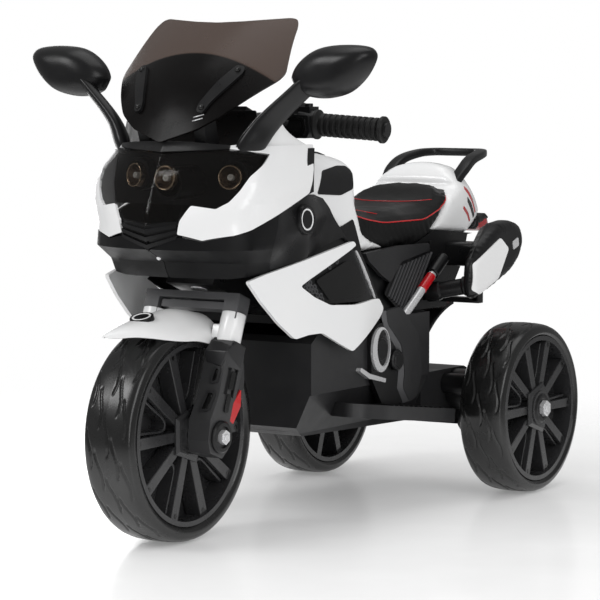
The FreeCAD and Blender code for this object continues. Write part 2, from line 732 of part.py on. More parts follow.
nose_levels = ((lip, nose_half(5, ((0.33, 5), (0.6, 13), (0.86, 24), (0.9, 58)), 0.92)),
               (deck - 140, nose_half(-50, ((0.37, 7), (0.62, 21), (0.95, 63), (0.965, 110)), 0.965)),
               (deck - 108, nose_half(-57, ((0.39, 13), (0.65, 32), (0.945, 73), (0.985, 130)), 0.985)),
               (deck - 55, nose_half(-40, ((0.42, 14), (0.715, 32), (0.985, 59), (1.02, 117)), 1.0)),
               (deck, nose_half(-12, ((0.44, 14), (0.71, 36), (0.935, 74), (0.99, 109)), 1.0)))
skin = Part.makeLoft([loop(plan_section(z, half)) for z, half in nose_levels], True, True)
wall = dim("fairing_wall")
core_sections = [loop(plan_section(z, shrunk(half, wall))) for z, half in nose_levels]
core = Part.makeLoft(core_sections, True, True)
envelope = solid("nose_skin", skin)
hollow = solid("nose_core", core)
shell = cut("nose_shell", envelope, hollow)
roof = common("fairing_roof", envelope, block("roof_slab", (-half_x - 9, half_x + 9), (fore(-90), fore(92)),
                                              (deck - wall, deck)))
far_front = fore(-120)
upper_zone = prism("upper_zone", "YZ_Plane",
                   [(far_front, fairing_foot(far_front)), (fair_back, fairing_foot(fair_back)),
                    (fair_back + 6, deck), (far_front, deck)], -half_x - 9, half_x + 9)
lens_outline = [(0, deck - 107), (50, deck - 101), (62, deck - 80), (96, deck - 84), (124, deck - 46),
                (half_x - 1, deck - wall - 1), (84, deck - wall - 1), (0, deck - wall - 3)]
lens_outline = both_sides([(float(a), float(b)) for a, b in lens_outline])
lens_zone = prism("lens_zone", "XZ_Plane", lens_outline, -fore(66), -far_front)
grille_outline = both_sides([(0, float(deck) - 140), (54, float(deck) - 123), (50, float(deck) - 101),
                             (0, float(deck) - 107)])
grille_zone = prism("grille_zone", "XZ_Plane", grille_outline, -fore(0), -far_front)
shoulder_side = [(fore(68), deck - wall), (fore(81), deck + 47), (fore(87), deck + 32), (fore(122), deck + 8),
                 (fore(138), deck - wall)]
shoulder = prism("shoulder", "YZ_Plane", shoulder_side, half_x - 11, half_x - wall)


def ridge_section(inner, outer, station, height):
    low = float(deck - wall)
    return [Vector(inner, station, low), Vector(outer, station, low), Vector(outer, station, height),
            Vector(inner + 2, station, height)]


ridge_rings = [ridge_section(84, 92, float(fore(22)), float(deck) + 1),
               ridge_section(float(half_x) - 15, float(half_x - wall), float(fore(87)), float(deck) + 32)]
ridge = solid("ridge", Part.makeLoft([loop(r) for r in ridge_rings], True, True))
shoulder = fuse("shoulder_ridge", shoulder, ridge)
fairing = common("fairing_skin", fuse("fairing_blank", shell, roof), upper_zone)
fairing = cut("fairing_open", fairing, lens_zone, grille_zone)
node(fuse("upper_fairing", fairing, shoulder, mirrored("shoulder_right", shoulder)), "upper_fairing")

lens = common("lens_band", common("lens_skin", shell, upper_zone), lens_zone)
node(lens, "headlight_lens")

lower_zone = prism("lower_zone", "YZ_Plane",
                   [(far_front, fairing_foot(far_front)), (neck_front, fairing_foot(neck_front)),
                    (neck_front, side_top(neck_front)), (fore(16), side_top(fore(16))),
                    (far_front, lip - 5)], -half_x - 9, half_x + 9)
nose_lower = common("nose_lower", shell, lower_zone)
grille = common("grille_band", common("grille_skin", shell, upper_zone), grille_zone)
node(fuse("nose_cover", nose_lower, grille), "nose_cover")

# headlamps: three bowls on a bulkhead inside the fairing
lamp_back = fore(57)
bulkhead = common("lamp_bulkhead", hollow, block("bulkhead_slab", (-half_x, half_x),
                                                 (lamp_back, lamp_back + 5), (deck - 84, deck - wall)))


def rod_y(name, radius, low, high, x, z):
    rod = doc.addObject("Part::Cylinder", name)
    tie(rod, "Radius", radius)
    tie(rod, "Height", as_size(high) - low)
    rod.Placement = Placement(Vector(), Rotation(Vector(1, 0, 0), -90))
    return seat_at(rod, (x, low, z))


bowls = []
for name, x, reach, rise in (("left", 82, -18, -42), ("mid", 0, -58, -52), ("right", -82, -18, -42)):
    tube = rod_y("bowl_%s" % name, 23, lamp_back + reach, lamp_back + 1, x, deck + rise)
    room = rod_y("bowl_room_%s" % name, 19, lamp_back + reach - 1, lamp_back - 4, x, deck + rise)
    bowls.append(cut("bowl_cut_%s" % name, tube, room))
node(fuse("headlamps", bulkhead, *bowls), "headlamps")

# neck covers between the fairing and the side fairings
neck_x = half_x - 5
neck_wall = dim("panel_wall")
neck_plan = [(neck_x - 4, neck_front), (neck_x, fair_back), (neck_x - 18, fore(217)),
             (neck_x - 28, fore(296))]
neck_band = band("neck_band", neck_plan, neck_wall, lip - 10, deck)
neck_side = [(neck_front, fairing_foot(neck_front)), (fair_back, fairing_foot(fair_back)),
             tank_foot[0], tank_foot[1], (fore(272), side_top(fore(272))), (neck_front, side_top(neck_front))]
neck = common("neck_panel", neck_band, prism("neck_side", "YZ_Plane", neck_side, half_x - 60, half_x + 20))
boss_y = fore(142)
boss_z = deck - 107
boss = rod_x("neck_boss", 21, neck_x - neck_wall, neck_x + 3, boss_y, boss_z)
node(pair("neck_covers", fuse("neck_cover", neck, boss)), "neck_covers")

# side fairings and their vents
side_x = dim("side_half")
side_wall = dim("panel_wall") + 1
side_plan = [(side_x - 18, fore(14)), (side_x - 10, fore(82)), (side_x - 4, fore(152)), (side_x, fore(272)),
             (side_x - 12, fore(366))]
side_low = dim("tub_top") - 45
side_band = band("side_band", side_plan, side_wall, side_low, deck)
side_outline = [(fore(16), side_top(fore(16))), (fore(272), side_top(fore(272))),
                (fore(362), side_low + 56), (fore(261), side_low + 6), (fore(180), side_low + 38),
                (fore(116), side_low + 36), (fore(44), side_low + 88)]
vent_outline = [(fore(132), side_top(fore(132)) - 16), (fore(266), side_top(fore(266)) - 11),
                (fore(344), side_low + 63), (fore(202), side_low + 77)]
vent_slot = prism("vent_slot", "YZ_Plane", vent_outline, side_x - 60, side_x + 20)
side = common("side_panel", side_band, prism("side_view", "YZ_Plane", side_outline, side_x - 60, side_x + 20))
side = cut("side_open", side, vent_slot)
ledge = prism("side_ledge", "YZ_Plane",
              [(fore(120), side_top(fore(120)) - 4), (fore(272), side_top(fore(272)) - 4),
               (fore(272), side_top(fore(272))), (fore(120), side_top(fore(120)))],
              dim("body_half"), side_x - 8)
ledge_room = prism("ledge_room", "XY_Plane",
                   [(dim("body_half") - 1, fore(10)), (side_x - 18 - side_wall, fore(14)),
                    (side_x - 10 - side_wall, fore(82)), (side_x - 4 - side_wall, fore(152)),
                    (side_x - side_wall, fore(272)), (side_x - 12 - side_wall, fore(366)),
                    (dim("body_half") - 1, fore(366))], side_low, deck)
side = fuse("side_fairing", side, common("side_shelf", ledge, ledge_room))
node(pair("side_fairings", side), "side_fairings")
vent_plan = [(x - dim("vent_recess"), y) for x, y in side_plan]
vent_band = band("vent_band", vent_plan, side_wall - dim("vent_recess"), side_low, deck)
vent = common("vent_panel", vent_band, vent_slot)
node(pair("side_vents", vent), "side_vents")

# tank cover with knee recesses
tank_top = dim("tank_height")
tank_x = dim("tank_half")
tank_back = [(fore(354), tank_top - 9), (fore(365), tank_top - 28), (fore(350), tank_top - 54),
             (fore(343), tank_top - 80), (fore(354), tank_top - 116), (fore(382), tank_top - 130)]
tank_side = [tank_foot[0], (fore(272), tank_top), (fore(318), tank_top)] + tank_back
tank_side += [seat_line, tank_foot[2], tank_foot[1]]


def tank_half_section(inset):
    x = tank_x - inset
    return both_sides([(0, float(tank_top) - 200), (float(x), float(tank_top) - 200),
                       (float(x), float(tank_top) - 110), (float(x) - 7, float(tank_top) - 68),
                       (float(x) - 18, float(tank_top - inset) - 34),
                       (float(x) - 42, float(tank_top - inset) - 6),
                       (float(x) - 66, float(tank_top - inset)), (0, float(tank_top - inset) + 1)])


tank_span = (-aft(-190), -fore(190))
tank_skin = common("tank_skin", prism("tank_view", "YZ_Plane", tank_side, -tank_x - 5, tank_x + 5),
                   prism("tank_slice", "XZ_Plane", tank_half_section(0), *tank_span))
tank_inner_side = [(fore(225), tank_top - 76), (fore(272), tank_top - dim("tank_wall")),
                   (fore(316), tank_top - dim("tank_wall")), (fore(350), tank_top - 13),
                   (fore(359), tank_top - 28), (fore(345), tank_top - 54), (fore(338), tank_top - 80),
                   (fore(346), tank_top - 116), (fore(346), tank_top - 160), (fore(292), tank_top - 130)]
tank_room = common("tank_room", prism("tank_room_view", "YZ_Plane", tank_inner_side, -tank_x, tank_x),
                   prism("tank_room_slice", "XZ_Plane", tank_half_section(dim("tank_wall")), *tank_span))
tank = cut("tank_shell", tank_skin, tank_room)
knee_outline = [(fore(238), tank_top - 58), (fore(276), tank_top - 24), (fore(346), tank_top - 15),
                (fore(354), tank_top - 28), (fore(340), tank_top - 54), (fore(302), tank_top - 62)]
knee_zone = prism("knee_zone", "YZ_Plane", knee_outline, 20, tank_x + 9)
knee_core = prism("knee_core", "XZ_Plane", tank_half_section(dim("knee_recess")), *tank_span)
knee = cut("knee_pad", common("knee_skin", tank_skin, knee_zone), knee_core)
knees = pair("knee_pads", knee)
tank = cut("tank_cover", tank, knee, mirrored("knee_twin", knee))
node(tank, "tank_cover")
node(knees, "knee_pads")

# dash with two rockers
dash_front = axis_y(deck) + dim("stem_radius") + 16
dash_top = tank_top + 6
dash_side = [(dash_front, dash_top - 30), tank_foot[0], (fore(272), tank_top), (fore(266), dash_top),
             (dash_front, dash_top)]
dash = prism("dash", "YZ_Plane", dash_side, -62, 62)
rocker_y = (dash_front + fore(266)) / 2
rocker_x = 28.0
rocker_drop = 12.0
rocker_half = dim("rocker_length") / 2
rocker_reach = dim("rocker_width") / 2
for label, sign in (("power_rocker", 1), ("direction_rocker", -1)):
    gap = dim("rocker_gap")
    well = block(label + "_well", (as_size(rocker_x * sign) - rocker_reach - gap,
                                   as_size(rocker_x * sign) + rocker_reach + gap),
                 (rocker_y - rocker_half - 2, rocker_y + rocker_half + 2),
                 (dash_top - rocker_drop, dash_top + 1))
    trunnion = rod_x(label + "_trunnion_room", PIN + dim("running_gap"),
                     as_size(rocker_x * sign) - rocker_reach - 4, as_size(rocker_x * sign) + rocker_reach + 4,
                     rocker_y, dash_top - 4)
    dash = cut(label + "_seat", dash, well, trunnion)
    cap = prism(label + "_cap", "YZ_Plane",
                [(rocker_y - rocker_half, dash_top + 3), (rocker_y, dash_top + 0.5),
                 (rocker_y + rocker_half, dash_top + 3), (rocker_y + 7, dash_top - 8),
                 (rocker_y - 7, dash_top - 8)],
                as_size(rocker_x * sign) - rocker_reach, as_size(rocker_x * sign) + rocker_reach)
    pivot = rod_x(label + "_pivot", PIN, as_size(rocker_x * sign) - rocker_reach - 3,
                  as_size(rocker_x * sign) + rocker_reach + 3, rocker_y, dash_top - 4)
    node(fuse(label, cap, pivot), label)
node(dash, "dash_panel")

# seat: a crowned saddle that dips behind the tank and rises to the tail
seat_x = float(dim("seat_half"))
seat_top = float(dim("seat_height"))


def seat_section(station, half, top, foot, crown):
    points = [(0, foot), (half - 7, foot), (half, foot + 9), (half - 1, top - 20), (half - 8, top - 9),
              (half * 0.72, top - 2), (half * 0.36, top + crown * 0.7), (0, top + crown)]
    return cross_section(station, points)


seat_stations = ((-324, 0.74, -27, 3), (-272, 0.9, -39, 3), (-225, 0.97, -44, 2), (-137, 1.0, -44, 2),
                 (-76, 0.98, -32, 4), (-32, 0.9, -14, 5), (-3, 0.78, -6, 4))
rings = []
for offset, share, rise, crown in seat_stations:
    rings.append(seat_section(float(aft(offset)), seat_x * share, seat_top + rise, seat_top - 150, crown))
seat_loft = solid("seat_loft", Part.makeLoft([loop(r) for r in rings], True, False))
seat_side = tank_back[2:] + seat_under + [(aft(-4), seat_top + 20), (fore(350), seat_top + 20)]
seat = common("seat_cushion", seat_loft, prism("seat_view", "YZ_Plane", seat_side, -seat_x - 9, seat_x + 9))
node(seat, "seat_cushion")

# tail cover behind and below the seat
tail_x = float(dim("tail_half"))
tail_top = float(dim("tail_height"))


def tail_section(station, half, top, foot):
    points = [(0, foot), (half - 6, foot), (half, foot + 8), (half * 0.97, top - 40), (half * 0.84, top - 26),
              (half * 0.72, top - 17), (half * 0.54, top - 6), (half * 0.26, top - 1), (0, top)]
    return cross_section(station, points)


tail_stations = ((-150, 1.02, -60, -121), (-60, 1.02, -25, -121), (4, 0.96, 0, -121), (40, 0.88, -1, -121),
                 (76, 0.77, -18, -121), (108, 0.64, -40, -121))
rings = []
for offset, share, rise, foot in tail_stations:
    rings.append(tail_section(float(aft(offset)), tail_x * share, tail_top + rise, tail_top + foot))
tail_loft = solid("tail_loft", Part.makeLoft([loop(r) for r in rings], True, True))
tail_side = seat_under[2:] + [(aft(-4), tail_top - 24), (aft(20), tail_top + 2),
                              (tail_back + 1, tail_top + 2), undercowl[1], undercowl[0]]
tail = common("tail_skin", tail_loft, prism("tail_view", "YZ_Plane", tail_side, -tail_x - 9, tail_x + 9))
node(tail, "tail_cover")

# grab rail: an open loop over the tail
rail_r = dim("rail_radius")
rail_z = tail_top + 11
rail_reach = dim("rail_reach") - rail_r
knots = [Vector(60, float(aft(14)), tail_top - 32), Vector(63, float(aft(58)), rail_z - 9),
         Vector(54, float(aft(rail_reach)) - 28, rail_z), Vector(30, float(aft(rail_reach)) - 4, rail_z + 2),
         Vector(0, float(aft(rail_reach)), rail_z + 2)]
pieces = []
for i in range(len(knots) - 1):
    pieces.append(rod_between("rail_run_%d" % i, rail_r, knots[i], knots[i + 1]))
    if i:
        pieces.append(ball("rail_knot_%d" % i, rail_r, knots[i]))
half_rail = fuse("half_rail", *pieces)
rail = fuse("rail_loop", half_rail, mirrored("half_rail_right", half_rail))
rail_zone = prism("rail_zone", "YZ_Plane",
                  [(aft(-4), tail_top - 60), (aft(-4), tail_top + 80), (aft(170), tail_top + 80),
                   (aft(170), tail_top - 60)], -120, 120)
rail = cut("grab_rail", common("rail_trim", rail, rail_zone), tail, seat_loft)
node(rail, "grab_rail")

# tail lamp on the tail's raked rear face
cowl_slope = float(undercowl[1][1] - undercowl[0][1]) / float(undercowl[1][0] - undercowl[0][0])
lamp_side = [(tail_back - 30, undercowl[1][1] - 30 * cowl_slope), undercowl[1],
             (tail_back, undercowl[1][1] + 10),
             (tail_back + 32, undercowl[1][1] - 6), (tail_back + 36, undercowl[1][1] - 16),
             (tail_back - 20, undercowl[1][1] - 22)]
node(prism("tail_lamp", "YZ_Plane", lamp_side, -52, 52), "tail_lamp")

# body shell: the inner body, with the steering head and the ribs that carry the panels
body_side = [(fore(214), dim("tub_top"))] + belly + [undercowl[0], tail_tip, seat_under[1], seat_line]
body_side += [tank_foot[2], tank_foot[1], tank_foot[0], (fore(214), tank_foot[0][1])]
body_x = dim("body_half")
body = prism("body_block", "YZ_Plane", body_side, -body_x, body_x)
wall = dim("body_wall")
room_side = [(fore(222), dim("tub_top") - 5), (aft(-70), dim("tub_top") - 5), (aft(-20), dim("tub_top") + 58),
             (aft(-3), undercowl[0][1] - wall * 2), (tail_tip[0], tail_tip[1] - wall * 3),
             (seat_under[1][0], seat_under[1][1] - wall * 2), (seat_line[0], seat_line[1] - wall * 2),
             (tank_foot[2][0], tank_foot[2][1] - wall), (tank_foot[1][0], tank_foot[1][1] - wall * 2),
             (tank_foot[0][0] + 5, tank_foot[0][1] - wall * 3)]
room = prism("body_room", "YZ_Plane", room_side, -body_x + wall, body_x - wall)
fins = []
for step in range(7):
    fin_y = aft(-200 + 14 * step)
    fins.append(block("fin_%d" % step, (body_x - 1, body_x + 5), (fin_y, fin_y + 6),
                      (dim("tub_top") + 14, dim("seat_height") - 112 + 4 * step)))
fin_rows = fuse("fin_rows", *fins)
head_block = block("head_block", (-dim("head_half"), dim("head_half")), (-dim("head_radius"), 130),
                   (CROWN + HEAD_GAP, BAR - 44))
head_seat = group("head_seat", head_block)
head_seat.Placement = STEER


def rib(name, station, room_shape, low, high):
    slab = block(name + "_slab", (-half_x - 20, half_x + 20), (station, as_size(station) + 6), (low, high))
    return common(name, slab, room_shape)


neck_inside = [(x - neck_wall, y) for x, y in neck_plan]
neck_room = prism("neck_room", "XY_Plane", neck_inside + [(-as_size(x), y) for x, y in reversed(neck_inside)],
                  lip - 10, deck)
side_inside = [(x - side_wall, y) for x, y in side_plan]
side_room = prism("side_room", "XY_Plane", side_inside + [(-as_size(x), y) for x, y in reversed(side_inside)],
                  side_low, deck)
ribs = [rib("fairing_rib", fore(112), hollow, deck - 62, deck - 12),
        rib("neck_rib", fore(176), neck_room, deck - 140, deck - 82),
        rib("side_rib", fore(222), side_room, dim("tub_top") + 4, dim("tub_top") + 80),
        rib("side_rib_back", fore(318), side_room, dim("tub_top") + 12, dim("tub_top") + 58)]
stem_bore = upright("stem_bore", dim("stem_radius") + dim("running_gap"), 0, CROWN - 9, BAR + 9)
stem_bore_seat = group("stem_bore_seat", stem_bore)
stem_bore_seat.Placement = STEER
hull = cut("body_hull", body, room)
body = fuse("body_with_ribs", hull, fin_rows, mirrored("fin_rows_right", fin_rows), head_seat, *ribs)
body = cut("body_shell", body, stem_bore_seat, dash, tank_skin)
node(body, "body_shell")

# rear mudguard: a curved plate between the rear wheels
guard_ring = cut("guard_ring",
                 rod_x("guard_outer", dim("mudguard_radius") + dim("mudguard_wall"), -body_x, body_x,
                                     REAR_Y, REAR_Z),
                 rod_x("guard_inner", dim("mudguard_radius"), -body_x - 1, body_x + 1, REAR_Y, REAR_Z))
guard_zone = prism("guard_zone", "YZ_Plane",
                   [(aft(-134), REAR_Z + 60), (aft(-142), dim("tub_top")), (aft(-142), dim("tub_top") + 30),
                    (aft(-34), dim("tub_top") + 30), (aft(-34), REAR_Z + 80)], -body_x, body_x)
node(common("rear_mudguard", guard_ring, guard_zone), "rear_mudguard")

# footboards, drawn from a sloping side view and a plan
board_slope = -0.127


def board_top(station):
    return (as_size(station) - fore(240)) * board_slope + (dim("tub_floor") + 35)


board_in = dim("tub_half") - 24
board_view = prism("board_view", "YZ_Plane",
                   [(fore(236), board_top(fore(236))), (aft(-152), board_top(aft(-152))),
                    (aft(-152), board_top(aft(-152)) - dim("footboard_thickness")),
                    (fore(236), board_top(fore(236)) - dim("footboard_thickness"))],
                   board_in, dim("footboard_reach") + 5)
board_plan = prism("board_plan", "XY_Plane",
                   [(board_in, fore(262)), (board_in + 48, fore(237)),
                    (dim("footboard_reach") - 4, fore(268)),
                    (dim("footboard_reach"), fore(300)), (dim("footboard_reach"), aft(-160)),
                    (dim("footboard_reach") - 12, aft(-152)), (board_in, aft(-152))],
                   dim("tub_floor") - 40, dim("tub_floor") + 60)
board = common("board", board_view, board_plan)
board = cut("board_trim", board, tub)
node(group("footboard_left", board), "footboard_left")

# the right footboard carries the accelerator pedal on two lugs
pedal_y = fore(328)
pedal_z = board_top(pedal_y) + 9
pedal_x = -(board_in + dim("footboard_reach")) / 2 - 1
pedal_half = dim("pedal_width") / 2
lugs = []
for step, sign in enumerate((-1, 1)):
    mid = pedal_x + (pedal_half + 5) * sign
    lug = block("pedal_lug_%d" % step, (mid - 4, mid + 4), (pedal_y - 8, pedal_y + 8),
                (board_top(pedal_y) - 6, pedal_z + 7))
    lugs.append(lug)
lug_bore = rod_x("lug_bore", PIN + dim("running_gap"), pedal_x - pedal_half - 20, pedal_x + pedal_half + 20,
                 pedal_y, pedal_z)
board_right = mirrored("board_right", board)
node(cut("footboard_right", fuse("board_with_lugs", board_right, *lugs), lug_bore, tub), "footboard_right")
pedal_front = pedal_y - dim("pedal_length")
plate = prism("pedal_plate", "YZ_Plane",
              [(pedal_front, board_top(pedal_front) + 18), (pedal_y + 5, pedal_z + 4),
               (pedal_y + 5, pedal_z - 4),
               (pedal_y - 4, pedal_z - 5), (pedal_front, board_top(pedal_front) + 13)],
              pedal_x - pedal_half, pedal_x + pedal_half)
pedal_pin = rod_x("pedal_pin", PIN, pedal_x - pedal_half - 8, pedal_x + pedal_half + 8, pedal_y, pedal_z)
node(fuse("accelerator_pedal", plate, pedal_pin), "accelerator_pedal")

# engine covers on the tub's flanks
cover_low = dim("tub_half")
cover_corners = [(fore(352), board_top(fore(352)) + 6), (fore(458), board_top(fore(352)) + 4),
                 (fore(470), dim("tub_floor") + 90), (fore(462), dim("tub_top") - 24),
                 (fore(430), dim("tub_top") - 4), (fore(368), dim("tub_top") - 4),
                 (fore(344), dim("tub_top") - 34),
                 (fore(340), dim("tub_floor") + 60)]
cover = prism("cover_plate", "YZ_Plane", cover_corners, cover_low, cover_low + dim("cover_depth"))
ring_y = fore(392)
ring_z = dim("tub_top") - 52
ring_rod = rod_x("cover_ring", 36, cover_low, cover_low + dim("cover_depth") + 6, ring_y, ring_z)
cover_face = cover_low + dim("cover_depth")
ring_room = rod_x("cover_ring_room", 28, cover_face - 3, cover_face + 9,
                  ring_y, ring_z)
engine_cover = cut("engine_cover", fuse("cover_blank", cover, ring_rod), ring_room)
node(pair("engine_covers", engine_cover), "engine_covers")

# diagonal braces along the body's flanks
brace_x = body_x + dim("brace_radius") + 7
brace_low = spot(brace_x, fore(472), dim("tub_top") + 12)
brace_high = spot(brace_x, fore(569), dim("tub_top") + 72)
brace_rod = rod_between("brace_rod", dim("brace_radius"), brace_low, brace_high)
foot_low = rod_x("brace_foot_low", dim("brace_radius"), body_x, brace_low.x, brace_low.y, brace_low.z)
foot_high = rod_x("brace_foot_high", dim("brace_radius"), body_x, brace_high.x, brace_high.y, brace_high.z)
knob_low = ball("brace_knob_low", dim("brace_radius") + 2, brace_low)
knob_high = ball("brace_knob_high", dim("brace_radius") + 2, brace_high)
brace_blank = fuse("brace_blank", brace_rod, foot_low, foot_high, knob_low, knob_high)
brace = cut("frame_brace", brace_blank, tub, body)
node(pair("frame_braces", brace), "frame_braces")

# panniers: a raked case with a lid, hung on a boss and a peg bar
case_len = float(dim("pannier_length"))
case_high = float(dim("pannier_height"))
case_deep = float(dim("pannier_depth"))
pannier_x = body_x + 30
PANNIER = Placement(spot(pannier_x, aft(-114), dim("tub_top") + 23),
                    Rotation(Vector(1, 0, 0), float(dim("pannier_tilt"))))


def case_section(x, inset):
    return [Vector(x, inset, inset), Vector(x, case_len - 20 - inset * 0.5, inset),
            Vector(x, case_len - inset, 17 + inset * 0.5),
            Vector(x, case_len - inset, case_high - 27 - inset * 0.5),
            Vector(x, case_len - 53 - inset * 0.4, case_high - inset),
            Vector(x, case_len - 91, case_high - inset),
            Vector(x, 5 + inset, case_high - 41)]


def lid_section(x, inset):
    return [Vector(x, 5 + inset, 5 + inset), Vector(x, case_len - 91, 5 + inset),
            Vector(x, case_len - 56 - inset, 30), Vector(x, case_len - 68 - inset, case_high - 22 - inset),
            Vector(x, 9 + inset, case_high - 42 - inset)]


lid_wall = 5.0
case_rings = [case_section(0, 4), case_section(12, 0), case_section(case_deep - 22, 0),
              case_section(case_deep - lid_wall, 5)]
case_body = Part.makeLoft([loop(r) for r in case_rings], True, True)
case_solid = solid("pannier_case", case_body)
case_solid.Placement = PANNIER
lid_rings = [lid_section(case_deep - lid_wall, 0), lid_section(case_deep, 3)]
lid_solid = solid("pannier_lid", Part.makeLoft([loop(r) for r in lid_rings], True, True))
lid_solid.Placement = PANNIER
hanger = block("pannier_hanger", (body_x, pannier_x + 4), (aft(-60), aft(-12)),
               (dim("tub_top") + 64, dim("tub_top") + 96))
plate_y = aft(-84)
plate_z = dim("tub_top") + 9
peg_plate = block("pannier_plate", (body_x, pannier_x + 58), (plate_y, plate_y + 16), (plate_z, plate_z + 8))
peg_web = block("pannier_web", (pannier_x + 2, pannier_x + 16), (plate_y, plate_y + 16),
                (plate_z, plate_z + 36))
pannier = fuse("pannier", case_solid, hanger, peg_plate, peg_web)
node(pair("panniers", cut("pannier_trim", pannier, fin_rows)), "panniers")
node(pair("pannier_lids", lid_solid), "pannier_lids")

# windscreen: a bowed sheet, steep at its foot and laid back at its top
screen_top = float(dim("screen_height"))
screen_wall = float(dim("screen_wall"))
screen_foot = float(deck) + 2
screen_rise = screen_top + 12 - screen_foot
screen_levels = ((0.0, -24, 24), (0.24, -2, 34), (0.52, 33, 50), (0.76, 78, 46), (1.0, 140, 36))


def screen_arc(level, setback, bow, shift):
    height = screen_foot + screen_rise * level
    mid = float(fore(setback)) + shift
    edge = Vector(150, mid + bow * 1.27, height)
    return Part.Arc(Vector(-edge.x, edge.y, height), Vector(0, mid, height), edge).toShape()


def screen_block(front, back):
    wires = []
    for level, setback, bow in screen_levels:
        outer = screen_arc(level, setback, bow, front)
        inner = screen_arc(level, setback, bow, back)
        ends = [Part.makeLine(outer.Vertexes[i].Point, inner.Vertexes[i].Point) for i in (0, 1)]
        wires.append(Part.Wire(Part.__sortEdges__([outer, ends[0], inner, ends[1]])))
    return Part.makeLoft(wires, True, False)


sheet_blank = solid("screen_blank", screen_block(0, screen_wall))
screen_outline = both_sides([(0, screen_foot + 2), (53, screen_foot + 20), (82, screen_foot + 38),
                             (133, screen_foot + 88), (136, screen_foot + 96),
                             (117, screen_top + 5), (104, screen_top + 7),
                             (0, screen_top)])
screen_zone = prism("screen_zone", "XZ_Plane", screen_outline, -fore(260), -fore(-90))
screen = common("windscreen", sheet_blank, screen_zone)
node(screen, "windscreen")

# two clips hold the screen on the fairing's deck
front_mass = solid("screen_front", screen_block(-90, screen_wall))


def clip_section(x, y, z, depth):
    corners = ((-9, 0), (9, 0), (9, depth), (-9, depth))
    return [Vector(x + across, y + along, z) for across, along in corners]


clip_rings = [clip_section(46, float(fore(10)), float(deck), 34),
              clip_section(50, float(fore(-2)), float(deck) + 47, 26),
              clip_section(78, float(fore(40)), float(deck) + 105, 26)]
clip = solid("clip_blank", Part.makeLoft([loop(r) for r in clip_rings], True, True))
node(pair("screen_brackets", cut("screen_bracket", clip, front_mass)), "screen_brackets")

# mirrors: an arm from the deck, a pod and its glass
mirror_z = float(dim("mirror_height"))
mirror_x = float(dim("mirror_half"))
mirror_back = float(fore(84))
POD_OUTLINE = ((-126, -8), (-112, 24), (-78, 36), (-36, 37), (-8, 24), (0, 4), (-12, -12), (-48, -24),
               (-90, -35), (-114, -30))


def mirror_ring(y, share):
    """A smooth closed curve through the pod's outline, drawn in towards its middle."""
    middle = (-64, 2)
    points = [Vector(mirror_x + middle[0] + (x - middle[0]) * share, y,
                     mirror_z + middle[1] + (z - middle[1]) * share) for x, z in POD_OUTLINE]
    curve = Part.BSplineCurve()
    curve.interpolate(points, True)
    return Part.Wire([curve.toShape()])


pod_rings = [mirror_ring(mirror_back, 0.96), mirror_ring(mirror_back - 10, 1.0),
             mirror_ring(mirror_back - 24, 0.93), mirror_ring(mirror_back - 36, 0.74),
             mirror_ring(mirror_back - 44, 0.42)]
glass_wall = float(dim("glass_wall"))
pod_solid = solid("mirror_pod", Part.makeLoft(pod_rings, True, False))
glass_seat = solid("glass_seat", Part.makeLoft([mirror_ring(mirror_back - glass_wall, 0.86),
                                                mirror_ring(mirror_back + 1, 0.86)], True, True))
glass = solid("mirror_glass", Part.makeLoft([mirror_ring(mirror_back - glass_wall, 0.86),
                                             mirror_ring(mirror_back, 0.86)], True, True))
pod_cut = cut("mirror_shell", pod_solid, glass_seat)


def arm_section(x, y, z, reach, depth):
    """An eight-sided ring about a point of the arm, its broad side facing outward and forward."""
    turns = ((1, 0.45), (0.6, 1), (-0.6, 1), (-1, 0.45), (-1, -0.45), (-0.6, -1), (0.6, -1), (1, -0.45))
    slant = math.sqrt(0.5)
    return [Vector(x + (reach * a - depth * b) * slant, y + (reach * a + depth * b) * slant, z)
            for a, b in turns]


arm_reach = float(dim("arm_reach"))
arm_depth = float(dim("arm_depth"))
arm_rings = [arm_section(mirror_x - 187, float(fore(49)), float(deck), arm_reach, arm_depth),
             arm_section(mirror_x - 158, float(fore(50)), float(deck) + 30, arm_reach, arm_depth),
             arm_section(mirror_x - 98, float(fore(60)), mirror_z - 16, arm_reach - 4, arm_depth - 1)]
arm = solid("arm_blank", Part.makeLoft([loop(r) for r in arm_rings], True, True))
node(pair("mirror_arms", cut("mirror_arm", arm, pod_solid, ridge)), "mirror_arms")
node(pair("mirror_shells", pod_cut), "mirror_shells")
node(pair("mirror_glasses", glass), "mirror_glasses")

# charging socket on the right flank of the tub
socket_y = fore(300)
socket_z = dim("tub_top") - 40
socket_rod = rod_x("socket_rod", dim("socket_radius"), -dim("tub_half") - 5, -dim("tub_half"),
                   socket_y, socket_z)
socket_hole = rod_x("socket_hole", dim("socket_radius") - 4, -dim("tub_half") - 6, -dim("tub_half") + 1,
                    socket_y, socket_z)
node(cut("charging_socket", socket_rod, socket_hole), "charging_socket")

doc.recompute()
for obj in doc.Objects:
    if "Invalid" in obj.State or "Error" in obj.State:
        raise RuntimeError("%s failed to compute" % obj.Name)
for obj in NODES:
    if obj.Shape.isNull() or not obj.Shape.isValid() or not obj.Shape.Solids:
        raise RuntimeError("%s has no valid solid" % obj.Label)

os.makedirs("parts", exist_ok=True)
for obj in NODES:
    obj.Shape.exportStep(os.path.join("parts", obj.Label + ".step"))
print("%d nodes" % len(NODES))
for obj in NODES:
    box = obj.Shape.BoundBox
    print("%-20s %d solids  x %.0f..%.0f  y %.0f..%.0f  z %.0f..%.0f" % (
        obj.Label, len(obj.Shape.Solids), box.XMin, box.XMax, box.YMin, box.YMax, box.ZMin, box.ZMax))
